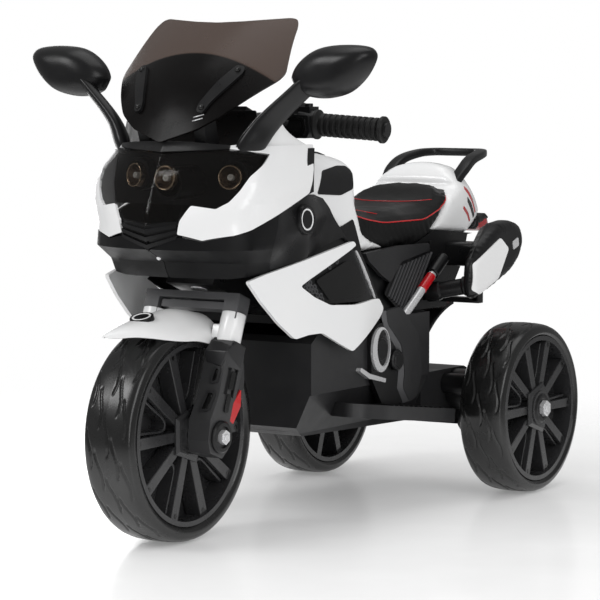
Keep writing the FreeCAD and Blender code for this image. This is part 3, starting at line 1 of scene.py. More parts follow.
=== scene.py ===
import json
from math import copysign, cos, exp, hypot, pi, radians, sin, sqrt
import bmesh
import bpy
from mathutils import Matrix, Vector


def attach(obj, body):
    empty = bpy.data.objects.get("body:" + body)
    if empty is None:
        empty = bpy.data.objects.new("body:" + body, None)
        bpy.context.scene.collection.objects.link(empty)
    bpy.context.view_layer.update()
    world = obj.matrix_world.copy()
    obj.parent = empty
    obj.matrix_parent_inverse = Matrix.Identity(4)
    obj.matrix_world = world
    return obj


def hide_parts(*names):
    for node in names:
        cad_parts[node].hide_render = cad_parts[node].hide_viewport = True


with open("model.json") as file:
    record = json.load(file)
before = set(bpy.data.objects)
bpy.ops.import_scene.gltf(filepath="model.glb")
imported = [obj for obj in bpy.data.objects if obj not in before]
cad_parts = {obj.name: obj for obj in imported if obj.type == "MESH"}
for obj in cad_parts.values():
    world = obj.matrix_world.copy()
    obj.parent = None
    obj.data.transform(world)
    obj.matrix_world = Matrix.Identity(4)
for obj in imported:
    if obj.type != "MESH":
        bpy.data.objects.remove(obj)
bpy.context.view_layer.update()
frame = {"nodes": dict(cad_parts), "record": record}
NODES = frame["nodes"]
scene = bpy.context.scene
MM = 0.001

# camera, at the photograph's viewing angle
VIEW_AZIMUTH = radians(32.82)
VIEW_ELEVATION = radians(4.88)
VIEW_DISTANCE = 4.163
VIEW_TARGET = Vector((-0.0005, 0.0, 0.3094))
VIEW_LENS = 169.8
SENSOR_WIDTH = 36

camera_data = bpy.data.cameras.new("camera")
camera_data.lens = VIEW_LENS
camera_data.sensor_width = SENSOR_WIDTH
camera = bpy.data.objects.new("camera", camera_data)
scene.collection.objects.link(camera)
sight = Vector((cos(VIEW_ELEVATION) * sin(VIEW_AZIMUTH),
                -cos(VIEW_ELEVATION) * cos(VIEW_AZIMUTH), sin(VIEW_ELEVATION)))
camera.location = VIEW_TARGET + sight * VIEW_DISTANCE
camera.rotation_euler = sight.to_track_quat("Z", "Y").to_euler()
scene.camera = camera
scene.view_settings.view_transform = "Standard"

# materials
NOISE_LOW, NOISE_HIGH = 0.3, 0.7
GLOSS_SCALE = 38.0
GRAIN_DEPTH = 0.0004
COAT_ROUGHNESS = 0.04
LENS_ALPHA = 0.3
PRINT_ARCH, PRINT_LOW, PRINT_HIGH = 2.4, 0.669, 0.673
PRINT_ALPHA, SHEET_ALPHA = 0.97, 0.84


def set_sockets(node, **constants):
    """Sets constants on a node's sockets, whose names have _ for a space."""
    for name, value in constants.items():
        node.inputs[name.replace("_", " ")].default_value = value
    return node


def math_node(tree, operation, *values):
    """A math node fed with constants and other nodes' outputs."""
    node = tree.nodes.new("ShaderNodeMath")
    node.operation = operation
    for socket, value in zip(node.inputs, values):
        if isinstance(value, float):
            socket.default_value = value
        else:
            tree.links.new(value, socket)
    return node.outputs["Value"]


class Look:
    """A material's nodes, laid out in object coordinates."""

    def __init__(self, name):
        self.material = bpy.data.materials.new(name)
        self.material.use_nodes = True
        self.tree = self.material.node_tree
        self.shader = self.tree.nodes["Principled BSDF"]
        self.place = self.tree.nodes.new("ShaderNodeTexCoord").outputs["Object"]

    def fed(self, kind, socket, value):
        """A node of a kind with a value linked to one of its sockets."""
        node = self.tree.nodes.new(kind)
        self.tree.links.new(value, node.inputs[socket])
        return node

    def give(self, **values):
        """Links values to the shader's sockets, whose names have _ for a space."""
        for name, value in values.items():
            self.tree.links.new(value, self.shader.inputs[name.replace("_", " ")])

    def noise(self, scale, detail=3.0):
        texture = self.fed("ShaderNodeTexNoise", "Vector", self.place)
        return set_sockets(texture, Scale=scale, Detail=detail).outputs["Fac"]

    def ranged(self, value, curve="LINEAR", **limits):
        """A value mapped from one range to another."""
        node = set_sockets(self.fed("ShaderNodeMapRange", "Value", value), **limits)
        node.interpolation_type = curve
        return node.outputs["Result"]

    def spread(self, value, low, high):
        """A texture mapped to a range."""
        return self.ranged(value, From_Min=NOISE_LOW, From_Max=NOISE_HIGH, To_Min=low, To_Max=high)

    def shade(self, value, dark, light):
        """A texture mapped to a pair of colours."""
        ramp = self.fed("ShaderNodeValToRGB", "Fac", value)
        ends = ramp.color_ramp.elements
        ends[0].position, ends[1].position = NOISE_LOW, NOISE_HIGH
        ends[0].color, ends[1].color = (*dark, 1), (*light, 1)
        return ramp.outputs["Color"]

    def bump(self, value, strength):
        relief = self.fed("ShaderNodeBump", "Height", value)
        return set_sockets(relief, Strength=strength, Distance=GRAIN_DEPTH).outputs["Normal"]


def plastic(name, dark, light, rough, grain_scale, grain, coat=0.0, metal=0.0, mottle=9.0, shine=0.5):
    """Moulded plastic or painted metal: slow colour drift, uneven gloss and a fine moulded grain."""
    look = Look(name)
    look.give(Base_Color=look.shade(look.noise(mottle), dark, light),
              Roughness=look.spread(look.noise(GLOSS_SCALE), *rough))
    if grain:
        look.give(Normal=look.bump(look.noise(grain_scale, 2.0), grain))
    set_sockets(look.shader, Metallic=metal, Specular_IOR_Level=shine, Coat_Weight=coat,
                Coat_Roughness=COAT_ROUGHNESS)
    return look.material


def screen_material():
    """Smoked sheet: brown and clear at the top, printed black below an arched line."""
    look = Look("smoke_screen")
    split = look.fed("ShaderNodeSeparateXYZ", "Vector", look.place)
    bow = math_node(look.tree, "MULTIPLY", split.outputs["X"], split.outputs["X"])
    arch = math_node(look.tree, "MULTIPLY_ADD", bow, PRINT_ARCH, split.outputs["Z"])
    edge = look.ranged(arch, From_Min=PRINT_LOW, From_Max=PRINT_HIGH)
    look.give(Base_Color=look.shade(edge, (0.003, 0.0025, 0.0025), (0.060, 0.038, 0.029)),
              Alpha=look.ranged(edge, To_Min=PRINT_ALPHA, To_Max=SHEET_ALPHA),
              Roughness=look.spread(look.noise(30.0), 0.2, 0.28))
    set_sockets(look.shader, Specular_IOR_Level=0.14)
    return look.material


# dark and light colour, roughness from and to, scale and strength of the grain, and what else a look has
LOOKS = {"white_gloss": ((0.785, 0.79, 0.795), (0.80, 0.80, 0.80), (0.22, 0.27), 700, 0.004, {"coat": 0.35}),
         "black_satin": ((0.005, 0.005, 0.0055), (0.009, 0.009, 0.0095), (0.26, 0.38), 900, 0.1,
                         {"shine": 0.35}),
         "gloss_black": ((0.004, 0.004, 0.004), (0.007, 0.007, 0.007), (0.08, 0.14), 600, 0.02,
                         {"shine": 0.4}),
         "charcoal": ((0.016, 0.016, 0.017), (0.024, 0.024, 0.025), (0.34, 0.46), 800, 0.04, {"shine": 0.4}),
         "fork_grey": ((0.028, 0.028, 0.029), (0.038, 0.038, 0.039), (0.34, 0.46), 800, 0.04, {"shine": 0.4}),
         "beak_black": ((0.004, 0.004, 0.0045), (0.007, 0.007, 0.0075), (0.36, 0.48), 900, 0.08,
                        {"shine": 0.16}),
         "rim_charcoal": ((0.017, 0.017, 0.018), (0.026, 0.026, 0.027), (0.2, 0.32), 850, 0.05,
                          {"shine": 0.6}),
         "tyre_black": ((0.006, 0.006, 0.006), (0.010, 0.010, 0.010), (0.2, 0.3), 600, 0.05, {"shine": 0.6}),
         "steel": ((0.68, 0.68, 0.69), (0.78, 0.78, 0.79), (0.2, 0.32), 900, 0.03, {"metal": 0.55}),
         "red_gloss": ((0.42, 0.006, 0.01), (0.5, 0.012, 0.014), (0.14, 0.22), 500, 0.04, {"coat": 0.5}),
         "lamp_red": ((0.28, 0.004, 0.008), (0.36, 0.008, 0.01), (0.08, 0.14), 320, 0.1, {"coat": 0.6}),
         "lamp_silver": ((0.72, 0.52, 0.34), (0.86, 0.66, 0.46), (0.12, 0.2), 420, 0.05, {"metal": 0.85}),
         "lamp_bowl": ((0.03, 0.02, 0.013), (0.22, 0.145, 0.09), (0.2, 0.3), 300, 0.2,
                       {"metal": 0.7, "mottle": 45.0}),
         "grip_rubber": ((0.005, 0.005, 0.005), (0.009, 0.009, 0.009), (0.42, 0.56), 900, 0.2,
                         {"shine": 0.35}),
         "nylon": ((0.62, 0.6, 0.55), (0.7, 0.68, 0.63), (0.4, 0.5), 700, 0.08, {}),
         "case_grey": ((0.06, 0.06, 0.063), (0.08, 0.08, 0.084), (0.45, 0.6), 700, 0.14, {}),
         "seat_leather": ((0.006, 0.006, 0.006), (0.011, 0.011, 0.011), (0.34, 0.46), 420, 0.5,
                          {"shine": 0.16}),
         "mirror_glass": ((0.78, 0.79, 0.8), (0.82, 0.83, 0.84), (0.02, 0.04), 200, 0.0, {"metal": 1.0}),
         "smoke_lens": ((0.004, 0.0035, 0.003), (0.006, 0.005, 0.0045), (0.03, 0.05), 200, 0.0,
                        {"shine": 0.4})}
MATERIALS = {name: plastic(name, *values, **more) for name, (*values, more) in LOOKS.items()}
MATERIALS["smoke_screen"] = screen_material()
set_sockets(MATERIALS["smoke_lens"].node_tree.nodes["Principled BSDF"], Alpha=LENS_ALPHA)

# geometry helpers, all in millimetres
EDGE_ANGLE, EDGE_STEPS = 38, 3
TURNED_EDGE, TURNED_ANGLE = 0.6, 30


def clamp(value):
    return max(0.0, min(1.0, value))


def smooth(knots, at):
    """Values on a curve through (place, value, ...) knots that never overshoots them."""
    places = [knot[0] for knot in knots]
    if at <= places[0]:
        return knots[0][1:]
    if at >= places[-1]:
        return knots[-1][1:]
    i = max(k for k in range(len(places) - 1) if places[k] <= at)
    run = places[i + 1] - places[i]
    s = (at - places[i]) / run
    found = []
    for c in range(1, len(knots[0])):
        def slope(k):
            return (knots[k + 1][c] - knots[k][c]) / (places[k + 1] - places[k])

        def tangent(k):
            if k == 0:
                return slope(0)
            if k == len(knots) - 1:
                return slope(k - 1)
            before, after = slope(k - 1), slope(k)
            return 0.0 if before * after <= 0 else 2 * before * after / (before + after)

        a, b = knots[i][c], knots[i + 1][c]
        found.append((2 * s ** 3 - 3 * s ** 2 + 1) * a + (s ** 3 - 2 * s ** 2 + s) * run * tangent(i)
                     + (3 * s ** 2 - 2 * s ** 3) * b + (s ** 3 - s ** 2) * run * tangent(i + 1))
    return tuple(found)


def straight(knots, at):
    """Values on straight lines between (place, value, ...) knots."""
    if at <= knots[0][0]:
        return knots[0][1:]
    for low, high in zip(knots, knots[1:]):
        if at <= high[0]:
            s = (at - low[0]) / (high[0] - low[0])
            return tuple(a + (b - a) * s for a, b in zip(low[1:], high[1:]))
    return knots[-1][1:]


def rounded(points, radius, steps=4):
    """A closed outline with its corners rounded."""
    found = []
    for i, point in enumerate(points):
        corner = Vector(point)
        before = Vector(points[i - 1]) - corner
        after = Vector(points[(i + 1) % len(points)]) - corner
        cut = min(radius, 0.45 * before.length, 0.45 * after.length)
        start = corner + before.normalized() * cut
        end = corner + after.normalized() * cut
        for k in range(steps + 1):
            s = k / steps
            found.append(tuple(start * (1 - s) ** 2 + corner * 2 * s * (1 - s) + end * s ** 2))
    return found


def mirrored(points):
    """The outline of a half shape, given from its middle line round to its middle line, made whole."""
    return points + [(-a, b) for a, b in reversed(points) if abs(a) > 1e-6]


def oval(cy, cz, ry, rz, start=0, end=360, count=40):
    angles = [radians(start + (end - start) * k / count) for k in range(count + 1)]
    return [(cy + ry * cos(a), cz + rz * sin(a)) for a in angles]


def edge_distance(outline, a, b):
    point = Vector((a, b))
    nearest = 1e9
    for i, start in enumerate(outline):
        start = Vector(start)
        along = Vector(outline[(i + 1) % len(outline)]) - start
        s = clamp((point - start).dot(along) / max(along.length_squared, 1e-9))
        nearest = min(nearest, (point - start - along * s).length)
    return nearest


def rim_fall(outline, a, b, radius):
    """How far a rounded rim has fallen away at a point of an outline."""
    gap = min(edge_distance(outline, a, b), radius)
    return radius - sqrt(max(radius ** 2 - (radius - gap) ** 2, 0.0))


def outward(centre):
    return (centre.x, 0, 0)


def upward(centre):
    return (0, 0, 1)


def ahead(centre):
    return (centre.x * 4, -1, 0.1)


def in_front(centre):
    return (0, -1, 0.4)


def flat_side(x):
    return lambda y, z: (x, y, z)


def add_piece(name, slot, bm, material=None, body="chassis"):
    mesh = bpy.data.meshes.new(name)
    bm.to_mesh(mesh)
    bm.free()
    mesh.shade_smooth()
    piece = bpy.data.objects.new(name, mesh)
    scene.collection.objects.link(piece)
    mesh.materials.append(MATERIALS[material or slot])
    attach(piece, body)
    return piece


def solidify(piece, thick):
    wall = piece.modifiers.new("wall", "SOLIDIFY")
    wall.thickness = thick * MM
    wall.offset = -1


def soften(piece, width, angle=EDGE_ANGLE):
    edge = piece.modifiers.new("edge", "BEVEL")
    edge.width = width * MM
    edge.segments = EDGE_STEPS
    edge.limit_method = "ANGLE"
    edge.angle_limit = radians(angle)
    edge.harden_normals = True


def subdivide(piece, levels):
    finer = piece.modifiers.new("finer", "SUBSURF")
    finer.levels = levels
    finer.render_levels = levels


def flat_patch(outline, holes, step, cuts=()):
    """A flat patch with an outline and holes, cut into small cells and along extra cross lines."""
    bm = bmesh.new()
    edges = []
    for loop in (outline, *holes):
        ring = [bm.verts.new((a, b, 0)) for a, b in loop]
        edges += [bm.edges.new((ring[i - 1], ring[i])) for i in range(len(ring))]
    bmesh.ops.triangle_fill(bm, use_beauty=True, use_dissolve=False, edges=edges)
    for axis, extra in ((0, ()), (1, cuts)):
        normal = Vector((0, 1, 0)) if axis else Vector((1, 0, 0))
        low = min(point[axis] for point in outline)
        high = max(point[axis] for point in outline)
        for cut in [*(low + step * k for k in range(1, int((high - low) / step) + 1)), *extra]:
            bmesh.ops.bisect_plane(bm, geom=bm.verts[:] + bm.edges[:] + bm.faces[:], dist=1e-4,
                                   plane_co=normal * cut, plane_no=normal)
    return bm


def face_out(bm, out):
    """Turns every face to the side that out points to."""
    bm.normal_update()
    total = sum(face.normal.dot(Vector(out(face.calc_center_median()))) * face.calc_area()
                for face in bm.faces)
    if total < 0:
        bmesh.ops.reverse_faces(bm, faces=bm.faces[:])


def mirror_twin(bm):
    """Adds the mirror image of all there is, and gives the twin of each vertex."""
    twin = bmesh.ops.duplicate(bm, geom=bm.verts[:] + bm.edges[:] + bm.faces[:])
    for vert in (item for item in twin["geom"] if isinstance(item, bmesh.types.BMVert)):
        vert.co.x = -vert.co.x
    faces = [item for item in twin["geom"] if isinstance(item, bmesh.types.BMFace)]
    bmesh.ops.reverse_faces(bm, faces=faces)
    return twin["vert_map"]


def skin_over(bm, rows, around=True, closed=False):
    """Faces between neighbouring rows of vertices; around joins the ends of each row, and closed joins
    the last row to the first."""
    for low, high in zip(rows, rows[1:] + rows[:1] if closed else rows[1:]):
        for k in range(0 if around else 1, len(low)):
            bm.faces.new((low[k - 1], low[k], high[k], high[k - 1]))


def panel(name, slot, outline, place, out=outward, holes=(), step=10.0, thick=4.0, edge=1.0, pair=True,
          cuts=(), material=None, body="chassis"):
    """A moulded panel: a patch laid on a surface, with a wall and soft edges, and a mirror twin if one
    of a pair."""
    bm = flat_patch(outline, holes, step, cuts)
    for vert in bm.verts:
        vert.co = Vector(place(vert.co.x, vert.co.y)) * MM
    face_out(bm, out)
    if pair:
        mirror_twin(bm)
    piece = add_piece(name, slot, bm, material, body)
    if thick:
        solidify(piece, thick)
    if edge:
        soften(piece, edge)
    return piece


def inflate(name, slot, outline, half, radius, crown=3.0, step=7.0, bands=10, middle=0.0, pair=False):
    """A closed shell seen from the side as an outline, half wide at each point about a middle plane,
    its rim rounded and the strip round its rim crowned."""
    bm = flat_patch(outline, (), step)
    for vert in bm.verts:
        y, z = vert.co.x, vert.co.y
        vert.co = Vector((half(y, z) - rim_fall(outline, y, z, radius), y, z)) * MM
    face_out(bm, lambda c: (1, 0, 0))
    rim = [edge for edge in bm.edges if edge.is_boundary]
    lefts = list(dict.fromkeys(vert for edge in rim for vert in edge.verts))
    twin_of = mirror_twin(bm)
    centre = sum((vert.co for vert in lefts), Vector()) / len(lefts)
    rows = {}
    for vert in lefts:
        away = Vector((0, vert.co.y - centre.y, vert.co.z - centre.z)).normalized()
        row = [vert]
        for k in range(1, bands):
            s = k / bands
            row.append(bm.verts.new(vert.co.lerp(twin_of[vert].co, s) + away * crown * MM * 4 * s * (1 - s)))
        rows[vert] = row + [twin_of[vert]]
    for edge in rim:
        a, b = edge.verts
        skin_over(bm, list(zip(rows[a], rows[b])), around=False)
    bmesh.ops.recalc_face_normals(bm, faces=bm.faces[:])
    bmesh.ops.translate(bm, verts=bm.verts[:], vec=(middle * MM, 0, 0))
    if pair:
        mirror_twin(bm)
    return add_piece(name, slot, bm)


def lathe(name, slot, profile, origin, axis, segments=72, material=None, pair=False, closed=False,
          body="chassis"):
    """A turned piece: (radius, height) points about an axis."""
    turn = Vector(axis).to_track_quat("Z", "Y").to_matrix()
    bm = bmesh.new()
    rings = []
    for radius, height in profile:
        ring = []
        for k in range(segments):
            angle = 2 * pi * k / segments
            spot = Vector((radius * cos(angle), radius * sin(angle), height))
            ring.append(bm.verts.new((turn @ spot + Vector(origin)) * MM))
        rings.append(ring)
    skin_over(bm, rings, closed=closed)
    if not closed:
        for ring in (rings[0], rings[-1]):
            if (ring[0].co - ring[segments // 2].co).length > 1e-6:
                bm.faces.new(ring)
    bmesh.ops.remove_doubles(bm, verts=bm.verts[:], dist=1e-7)
    bmesh.ops.recalc_face_normals(bm, faces=bm.faces[:])
    if pair:
        mirror_twin(bm)
    piece = add_piece(name, slot, bm, material, body)
    soften(piece, TURNED_EDGE, TURNED_ANGLE)
    return piece


def flowing(points, fine):
    """A smooth line through points, with fine steps between neighbours."""
    knots = [Vector(point) for point in points]
    knots = [knots[0] * 2 - knots[1], *knots, knots[-1] * 2 - knots[-2]]
    path = []
    for before, start, end, after in zip(knots, knots[1:], knots[2:], knots[3:]):
        for k in range(fine):
            s = k / fine
            path.append(0.5 * (2 * start + (end - before) * s
                               + (2 * before - 5 * start + 4 * end - after) * s ** 2
                               + (3 * start - 3 * end + after - before) * s ** 3))
    return path + [knots[-2]]


def heading(path, k):
    """The direction of a line at one of its points."""
    return (path[min(k + 1, len(path) - 1)] - path[max(k - 1, 0)]).normalized()


def squarish(angle, square):
    """A place on a unit circle, which a power below one presses towards a square."""
    return (copysign(abs(cos(angle)) ** square, cos(angle)),
            copysign(abs(sin(angle)) ** square, sin(angle)))


def sweep(name, slot, rings, pair=False):
    """A capped skin over a row of closed rings of points."""
    bm = bmesh.new()
    loops = [[bm.verts.new(Vector(point) * MM) for point in ring] for ring in rings]
    skin_over(bm, loops)
    bm.faces.new(loops[0])
    bm.faces.new(loops[-1])
    bmesh.ops.recalc_face_normals(bm, faces=bm.faces[:])
    if pair:
        mirror_twin(bm)
    return add_piece(name, slot, bm)


def tube(name, slot, points, radius, pair=False, sides=10, fine=8, flat=1.0, square=1.0):
    """A bead along a smooth line through points, flat times as high as it is wide."""
    path = flowing(points, fine)
    turns = [squarish(2 * pi * n / sides, square) for n in range(sides)]
    section = [(a * radius, b * radius * flat) for a, b in turns]
    rings = []
    for k, spot in enumerate(path):
        along = heading(path, k)
        across = along.cross(Vector((0, 0, 1))).normalized()
        rise = across.cross(along)
        rings.append([spot + across * a + rise * b for a, b in section])
    return sweep(name, slot, rings, pair)


def grid(name, slot, rows, out, pair=False, body="chassis"):
    """A surface through rows of points."""
    bm = bmesh.new()
    skin_over(bm, [[bm.verts.new(Vector(point) * MM) for point in row] for row in rows], around=False)
    face_out(bm, out)
    if pair:
        mirror_twin(bm)
    return add_piece(name, slot, bm, body=body)


# looks and softened edges of the solids themselves
WELD_REACH, FLAT_ANGLE = 0.02, 1.0
SOLID_EDGE, SOLID_ANGLE = 1.2, 35
SLOT_OF = {entry["node"]: entry["material_slot"] for entry in frame["record"]["subparts"]}
LOOK_OF = {"horn_button": "black_satin", "headlamps": "black_satin", "lower_tub": "charcoal",
           "fork_legs": "fork_grey"}
for name, obj in NODES.items():
    for slot in obj.material_slots:
        slot.material = MATERIALS[LOOK_OF.get(name, SLOT_OF[name])]
    obj.modifiers.new("weld", "WELD").merge_threshold = WELD_REACH * MM
    if name != "lower_tub":
        flat = obj.modifiers.new("flat", "DECIMATE")
        flat.decimate_type = "DISSOLVE"
        flat.angle_limit = radians(FLAT_ANGLE)
        soften(obj, SOLID_EDGE, SOLID_ANGLE)

# wheel centres, and places along the raked fork
FRONT_HUB = Vector((0, -332, 150))
LEFT_HUB = Vector((188, 332, 130))
RIGHT_HUB = Vector((-188, 332, 130))
RAKE = radians(20.4)


def on_rake(x, v, u):
    """A place across the bike, behind the fork's axis and up along it."""
    return (x, FRONT_HUB.y + u * sin(RAKE) + v * cos(RAKE),
            FRONT_HUB.z + u * cos(RAKE) - v * sin(RAKE))


def on_leg(side):
    return lambda v, u: on_rake(side, v, u)


def on_yoke(v):
    return lambda x, u: on_rake(x, v, u)


# nose shell: a level, then x and y of half its plan from the middle line round to the neck
NOSE_LEVELS = [
    (405, 0, -382, 51, -375, 85, -361, 130, -319, 132, -272, 132, -167),
    (437, 0, -389, 53, -376, 89, -357, 129.5, -316, 135, -259, 135, -167),
    (490, 0, -372, 57.5, -358, 98, -340, 135, -313, 139.7, -255, 137, -167),
    (545, 0, -344, 60, -330, 97, -308, 128, -270, 135.6, -235, 137, -167),
]
BEAK_LEVELS = [
    (362, 0, -331, 45, -326, 80, -317, 110, -303, 120, -269, 126, -167),
    (372, 0, -338, 45, -333, 83, -322, 114, -304, 122, -269, 126, -167),
    (386, 0, -344, 45, -339, 84, -327, 118, -306, 124, -270, 127, -167),
    NOSE_LEVELS[0],
]
BEAK_TOP, NOSE_TOP = NOSE_LEVELS[0][0], NOSE_LEVELS[-1][0]
STRETCH = 40.0
FOOT_START, FOOT_SLOPE = Vector((-384, 410)), 0.3583


def nose_plan(t, z):
    row = straight(BEAK_LEVELS, z) if z < BEAK_TOP else smooth(NOSE_LEVELS, z)
    return smooth([(k, row[2 * k], row[2 * k + 1]) for k in range(6)], abs(t))


def nose_spot(t, z):
    x, y = nose_plan(t, z)
    return Vector((copysign(x, t) if t else 0.0, y, z))


def nose_point(a, z, out=0.0):
    """A point on the nose; a runs round the plan, negative on the bike's right."""
    t = a / STRETCH
    spot = nose_spot(t, z)
    if out:
        across = nose_spot(t + 0.02, z) - nose_spot(t - 0.02, z)
        rise = nose_spot(t, z + 0.5) - nose_spot(t, z - 0.5)
        spot += across.cross(rise).normalized() * out
    return spot


def on_nose(out):
    return lambda a, z: nose_point(a, z, out)


def nose_run(axis, value, z, high):
    """The place round the plan at a level where x or y reaches a value."""
    low = 0.0
    for _ in range(40):
        middle = (low + high) / 2
        low, high = (middle, high) if nose_plan(middle, z)[axis] < value else (low, middle)
    return (low * STRETCH, z)


def nose_x(x, z):
    return nose_run(0, x, z, 3.2)


def nose_y(y, z):
    return nose_run(1, y, z, 5.0)


def fairing_foot(y):
    """The height of the fairing's lower edge."""
    return (y - FOOT_START.x) * FOOT_SLOPE + FOOT_START.y


FOOT_LINE = [nose_y(y, fairing_foot(y)) for y in (-340, -320, -300, -280, -265, -245, -220, -194)]
LENS_EDGE = [nose_x(62, 465), nose_x(92, 461), nose_x(106, 470), nose_x(118, 487), nose_x(125, 505),
             (2.98 * STRETCH, 522), (3.06 * STRETCH, 534)]
CREASE_START = Vector((-384, 456))
CREASE_RUN = (Vector((-177, 495)) - CREASE_START).normalized()
CREASE_RISE, CREASE_REACH = 4.0, 34.0


def fairing_skin(a, z):
    """The fairing swells to a soft crease that climbs to the rear."""
    off = Vector((nose_plan(a / STRETCH, z)[1], z)) - CREASE_START
    gap = abs(off.x * CREASE_RUN.y - off.y * CREASE_RUN.x)
    return nose_point(a, z, CREASE_RISE * max(0.0, 1 - gap / CREASE_REACH))


fairing = panel("fairing_shell", "white_gloss",
                rounded([LENS_EDGE[0], nose_x(50, 445), nose_x(46, 427), nose_x(78, 419), *FOOT_LINE,
                         (4.83 * STRETCH, 512), *[(t * STRETCH, NOSE_TOP) for t in (4.83, 4.2, 3.5, 2.3)],
                         nose_x(88, 542), *reversed(LENS_EDGE[1:])], 2), fairing_skin,
                lambda c: (copysign(1, c.x), -0.3, 0), step=7.0)
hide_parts("upper_fairing")
panel("fairing_rear_trim", "black_satin",
      [(4.62 * STRETCH, 474), (4.86 * STRETCH, 479), (4.86 * STRETCH, 540), (4.66 * STRETCH, 540)],
      on_nose(1.2), step=8.0, thick=3.0)
lens = panel("headlight_glass", "smoke_lens",
             rounded(mirrored([(0, 439), nose_x(50, 446), *LENS_EDGE, nose_x(88, 541), (0, 539)]), 2),
             on_nose(-0.6), ahead, step=7.0, thick=3.0, pair=False)
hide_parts("headlight_lens")
panel("fairing_deck", "black_satin",
      mirrored([(0, -340), (58, -326), (94, -305), (124, -268), (131, -238), (131, -225), (0, -225)]),
      lambda x, y: (x, y, 543), upward, step=20.0, thick=3.0, pair=False)
panel("brow_strip", "black_satin",
      rounded(mirrored([(0, 536), nose_x(40, 538), nose_x(90, 541), nose_x(90, 546), nose_x(40, 550),
                        (0, 551)]), 2),
      lambda a, z: nose_point(a, min(z, NOSE_TOP), 2.2) + Vector((0, 0, max(z - NOSE_TOP, 0))), ahead,
      step=6.0, thick=7.0, pair=False)
ridge_rows = []
for y, outer, rise, wide in ((-313, 88, 1, 4), (-300, 100, 3, 9), (-282, 115, 8, 14), (-266, 125, 23, 15),
                             (-252, 130.5, 47, 11), (-246, 132, 31, 12), (-228, 134.5, 16, 12),
                             (-210, 136, 8, 12), (-194, 137, 1, 12)):
    ridge_rows.append([(outer, y, 538), (outer - 0.5, y, 543 + rise * 0.5), (outer - 2, y, 544 + rise * 0.9),
                       (outer - wide * 0.45, y, 545 + rise), (outer - wide * 0.8, y, 543 + rise * 0.86),
                       (outer - wide, y, 538)])
ridge = grid("fairing_shoulders", "white_gloss", ridge_rows, lambda c: (c.x, 0, 1), pair=True)
subdivide(ridge, 2)
beak = panel("beak", "black_satin",
             rounded([(0.5, 404), nose_x(45, 423), nose_x(78, 417), *[(a, z - 1.2) for a, z in FOOT_LINE[:5]],
                      nose_y(-266, 373), nose_y(-316, 364), (60, 364), (0.5, 364)], 3), on_nose(-0.4), ahead,
             step=8.0, cuts=(372, 386, 405), material="beak_black")
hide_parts("nose_cover")
panel("grille_back", "black_satin", mirrored([(0, 402), nose_x(50, 420), nose_x(52, 447), (0, 441)]),
      on_nose(-4.0), ahead, step=8.0, pair=False)
for k in range(3):
    low, side = 433 - 10.5 * k, 440.5 - 7.5 * k
    panel(f"grille_rib_{k}", "black_satin",
          rounded(mirrored([(0, low - 6), nose_x(45, side - 4.6), nose_x(46, side), (0, low)]), 1),
          on_nose(0.8), ahead, step=6.0, thick=5.0, pair=False)
lathe("beak_screw", "steel", [(0, 0), (2.6, 0), (3.6, -0.8), (3.6, -3)],
      nose_point(0, 392) + Vector((0, -1.5, 0)), (0, -0.9, -0.4), 24)

# lamps behind the glass: dished reflector, ring and bulb
LAMP_BOWL = [(0, -10), (5, -9), (10, -5), (13, 0), (14.5, 2), (16.5, 2), (17.5, 0), (17.5, -7)]
LAMP_RING = [(15, 1.5), (15.4, 2.8), (16.6, 2.8), (17, 1.5)]
LAMP_BULB = [(0, -3), (1.6, -2.6), (2.4, 0.6), (3.4, 1.2), (4.4, 0), (4.6, -9)]
for name, spot in (("lamp_left", (80, -300, 502)), ("lamp_middle", (0, -340, 501)),
                   ("lamp_right", (-80, -300, 502))):
    aim = (spot[0] / 260, -1, 0.12)
    lathe(name, "lamp_silver", LAMP_BOWL, spot, aim, 56, material="lamp_bowl")
    lathe(name + "_ring", "lamp_silver", LAMP_RING, spot, aim, 56, closed=True)
    lathe(name + "_bulb", "nylon", LAMP_BULB, spot, aim, 32)

# neck covers with a bossed round cap
NECK_PLAN = [(-266, 128), (-197, 132), (-115, 114), (-36, 104)]
NECK_START, NECK_SINK, NECK_BLEND = NECK_PLAN[0][0], 0.4, 60.0
RIDGE_START, RIDGE_SLOPE = Vector((-265, 424)), 0.16
RIDGE_RISE, RIDGE_REACH, RIDGE_END, RIDGE_FADE = 6.0, 24.0, -60, 70.0
CAP_SPOT, CAP_AXIS = (129, -193, 441), (1, 0, 0.05)


def neck_skin(y, z):
    """The neck leaves the beak's flank and runs back to the tank with a soft ridge."""
    flank = nose_plan(nose_y(min(y, NECK_START), z)[0] / STRETCH, z)[0]
    start = flank - NECK_SINK - NECK_SINK * max(0.0, NECK_START - y)
    ridge = z - (RIDGE_START.y + (y - RIDGE_START.x) * RIDGE_SLOPE)
    swell = RIDGE_RISE * max(0.0, 1 - abs(ridge) / RIDGE_REACH) * clamp((RIDGE_END - y) / RIDGE_FADE)
    blend = clamp((y - NECK_START) / NECK_BLEND)
    blend = blend * blend * (3 - 2 * blend)
    return (start * (1 - blend) + (smooth(NECK_PLAN, y)[0] - 3 + swell) * blend, y, z)


neck = panel("neck_skins", "black_satin",
             rounded([(-276, 447), (-197, 476), (-150, 474), (-115, 467), (-36, 408), (-60, 406),
                      (-276, 373)], 1), neck_skin, step=8.0, thick=5.0)
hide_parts("neck_covers")
lathe("neck_caps", "black_satin",
      [(0, 8), (12, 8), (13, 6.5), (15.5, 6.5), (17, 9), (20, 8.5), (21.5, 5), (21.5, -10)], CAP_SPOT,
      CAP_AXIS, 64, pair=True)
lathe("neck_cap_rings", "white_gloss", [(12.6, 7), (13.4, 8), (15, 8), (15.6, 7)], CAP_SPOT, CAP_AXIS, 64,
      pair=True, closed=True)

